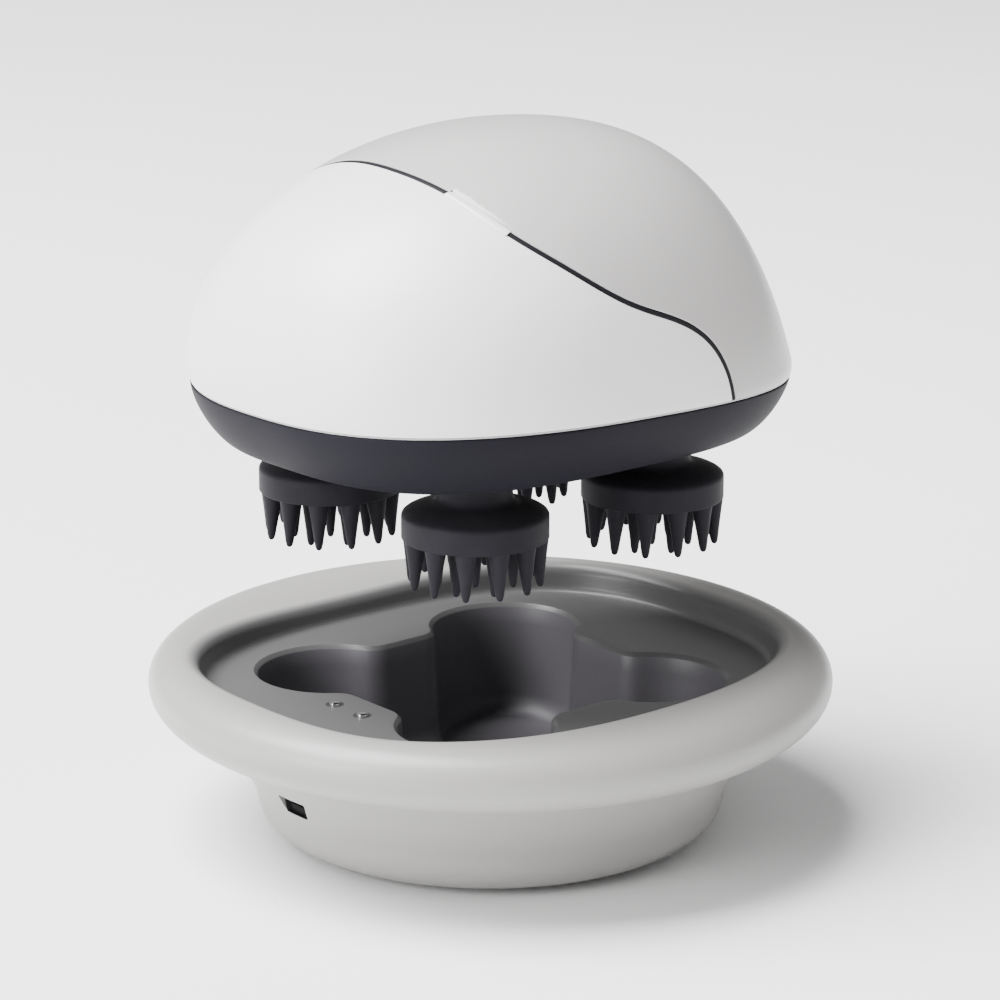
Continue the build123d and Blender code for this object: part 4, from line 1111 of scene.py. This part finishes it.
# %% Dock bowl
rings = [pole(0, 0, RECESS_FLOOR, DOCK_COLUMNS)]
floor_shrink = DRAFT * (LEDGE - RECESS_FLOOR)
for share in (0.35, 0.7, 0.92):
    rings.append(lift((recess_reach(floor_shrink) - RECESS_ROUND) * share, RECESS_FLOOR))
for step in range(9):
    swing = pi / 2 * step / 8
    height = RECESS_FLOOR + RECESS_ROUND * (1 - cos(swing))
    wall = recess_reach(DRAFT * (LEDGE - height))
    rings.append(lift(wall - RECESS_ROUND * (1 - sin(swing)), height))
for height in (14.0, 18.0, 22.0, 26.0):
    rings.append(lift(recess_reach(DRAFT * (LEDGE - height)), height))
rings.append(lift(recess_reach(DRAFT * RECESS_CHAMFER + 0.02), LEDGE - RECESS_CHAMFER - 0.08))
rings.append(lift(recess_reach(DRAFT * RECESS_CHAMFER - 0.06), LEDGE - RECESS_CHAMFER + 0.06))
rings.append(lift(recess_reach(-RECESS_CHAMFER + 0.08), LEDGE - 0.03))
rings.append(lift(recess_reach(-RECESS_CHAMFER - 0.08), LEDGE))
crest = brim_height(bowl_reach(BOWL_ROUND))
COVE = 1.6                  # radius of the cove where the bowl's wall meets the ledge
wall_foot = -BOWL_DRAFT * (1 - COVE / (crest - LEDGE))
wall_top = -BOWL_DRAFT * BOWL_ROUND / (crest - LEDGE)
ledge_end = bowl_reach(wall_foot) - COVE
chamfered = recess_reach(-RECESS_CHAMFER - 0.08)
for share in (0.1, 0.35, 0.65, 0.9):
    rings.append(lift(chamfered + (ledge_end - chamfered) * share, LEDGE))
for step in range(7):
    swing = pi / 2 * step / 6
    rings.append(lift(ledge_end + COVE * sin(swing), LEDGE + COVE * (1 - cos(swing))))
for step in range(9):
    swing = pi / 2 * step / 8
    rings.append(
        lift(
            bowl_reach(BOWL_ROUND - (BOWL_ROUND - wall_top) * cos(swing)),
            crest - BOWL_ROUND * (1 - sin(swing)),
        )
    )
inner_reach = bowl_reach(BOWL_ROUND)
for share in (0.15, 0.35, 0.6, 0.85):
    reach = inner_reach + (PEAK_RADIUS - inner_reach) * share
    rings.append(lift(reach, brim_height(reach)))
for step in range(13):
    swing = pi / 2 * step / 12
    rings.append(
        round_ring(
            PEAK_RADIUS + (BRIM_RADIUS - PEAK_RADIUS) * sin(swing),
            BRIM_EDGE + (PEAK_HEIGHT - BRIM_EDGE) * cos(swing),
        )
    )
for step in range(1, 13):
    swing = pi / 2 * step / 12
    rings.append(
        round_ring(
            CUP_TOP_RADIUS + 1 + (BRIM_RADIUS - CUP_TOP_RADIUS - 1) * cos(swing),
            BRIM_EDGE - (BRIM_EDGE - CUP_TOP) * sin(swing),
        )
    )
rings += [
    round_ring(49.3, CUP_TOP),
    round_ring(49.3, CUP_TOP - 2),
    round_ring(48.0, CUP_TOP - 2),
    round_ring(48.0, LEDGE_UNDER),
    lift(np.minimum(recess_reach(-1.3), 47.8), LEDGE_UNDER),
]
for height in (22.0, 16.0, 11.0, 8.5):
    reach = np.minimum(recess_reach(DRAFT * (LEDGE - height) - 1.3), 44.6 + 0.3 * (height - 9))
    rings.append(lift(reach, height))
rings.append(lift(recess_reach(floor_shrink) - 1.6, RECESS_FLOOR - 1.3))
rings.append(pole(0, 0, RECESS_FLOOR - 1.3, DOCK_COLUMNS))
dock_bowl = skin("bowl_moulding", rings, smooth_angle=30)
for x, y in ((13, 13), (13, -13), (-13, 13), (-13, -13)):
    boss = turned("boss", (x, y), [(0, 3), (3.2, 3), (3.2, 6.4), (0, 6.4)], count=32)
    carve(dock_bowl, boss, "UNION")
for y in (-5.7, 5.7):
    profile = [(0, 12.25), (1.7, 12.25), (1.7, 29.5), (0, 29.5)]
    post = turned("post", (-40.5, y), profile, count=32)
    carve(dock_bowl, post, "UNION")
for y in (-CONTACT_Y, CONTACT_Y):
    hole = turned("hole", (CONTACT_X, y), [(0, 20), (1.8, 20), (1.8, 40), (0, 40)], count=48)
    carve(dock_bowl, hole)
smooth_again(dock_bowl)
dress(dock_bowl, "dock", "dock_grey", "dock_bowl", finish="bowl_grey")

# %% [markdown]
# ## The dock's cup
# The cup is plainly turned: a flaring wall over a rounded corner, with a ring inside that
# rests on the base plate.  One slot is cut through its wall for the cable inlet.

# %% Dock cup
corner = [
    (39.0 + 7.0 * sin(pi / 2 * k / 8), 7.5 - 6.5 * cos(pi / 2 * k / 8)) for k in range(9)
]
flare = [
    (46.15, 8.5), (46.45, 9.6), (46.95, 10.7), (47.6, 11.9), (48.4, 13.4), (49.25, 15.2),
    (50.1, 17.0), (51.0, 19.0), (51.75, 20.6), (52.5, 22.2),
]
outside = corner + flare
inner_corner = [
    (39.0 + 5.6 * sin(pi / 2 * k / 6), 7.5 - 4.1 * cos(pi / 2 * k / 6)) for k in range(7)
]
cup_inside = [(r - 1.5, h) for r, h in reversed(flare)] + inner_corner[::-1]
cup_profile = (
    [(38.6, 2.0), (38.6, 1.0)] + outside + cup_inside + [(34.5, 3.4), (34.5, 2.0), (38.6, 2.0)]
)
dock_cup = turned("cup_moulding", (0, 0), cup_profile, count=240)


def slot_tool(name, half_top, half_bottom, low, high, near, far):
    """A block that is wider at its top, along X."""
    bpy.ops.object.select_all(action="DESELECT")
    bpy.ops.mesh.primitive_cube_add(size=2)
    tool = bpy.context.object
    tool.name = name
    for vertex in tool.data.vertices:
        half = half_top if vertex.co.z > 0 else half_bottom
        vertex.co = Vector(
            (
                near if vertex.co.x < 0 else far,
                half if vertex.co.y > 0 else -half,
                high if vertex.co.z > 0 else low,
            )
        ) * MM
    return tool


def rounded(piece, width):
    """Round the sharp edges with a bevel, and apply it."""
    bevel = piece.modifiers.new("round", "BEVEL")
    bevel.width = width * MM
    bevel.segments = 4
    bevel.limit_method = "ANGLE"
    bevel.angle_limit = radians(30)
    bevel.harden_normals = False
    apply_all(piece)
    smooth_again(piece, 32)
    return piece


opening = rounded(slot_tool("opening", 4.15, 3.15, 11.8, 15.4, -60, -40), 0.5)
carve(dock_cup, opening)
smooth_again(dock_cup)
dress(dock_cup, "dock", "dock_grey", "dock_cup")

# %% [markdown]
# ## The cable inlet
# A micro-USB inlet is a thin folded shell, wider at the top, with a plastic tongue inside.
# A block is hollowed by a smaller block, and its edges are rounded as folded sheet would be.

# %% Cable inlet
shell = rounded(slot_tool("inlet_shell", 4.05, 3.05, 11.9, 15.3, -47.9, -41.8), 0.4)
hollow = rounded(slot_tool("hollow", 3.8, 2.85, 12.1, 15.05, -50, -42.4), 0.3)
carve(shell, hollow)
dress(shell, "dock", "steel", "micro_usb_inlet", finish="inlet_black")
insert = rounded(slot_tool("inlet_insert", 3.78, 2.83, 12.12, 15.03, -47.2, -42.5), 0.25)
tongue = rounded(slot_tool("tongue", 1.85, 1.85, 13.5, 14.0, -47.6, -45.0), 0.12)
dress(joined([insert, tongue], "inlet_insert"), "dock", "structure_black", finish="inlet_black")

# %% [markdown]
# ## Charging pins
# Two sprung pins stand a little out of the ledge.  Each is a turned plunger with a domed tip
# in a thin sleeve.

# %% Charging pins
for side, y in (("left", CONTACT_Y), ("right", -CONTACT_Y)):
    pin = turned(
        f"charging_pin_{side}",
        (CONTACT_X, y),
        [
            (0, 25.3), (1.1, 25.3), (1.1, 28.25), (1.35, 28.25), (1.35, 29.25),
            (1.1, 29.25), (1.1, 30.45), (1.04, 30.62), (0.85, 30.74), (0.5, 30.79),
            (0, 30.8),
        ],
        count=40,
    )
    dress(pin, f"contact_plunger_{side}", "contact_plate", f"contact_pin_{side}")

# %% Deselect the frame's solids
for solid in frame["nodes"].values():
    solid.select_set(False)
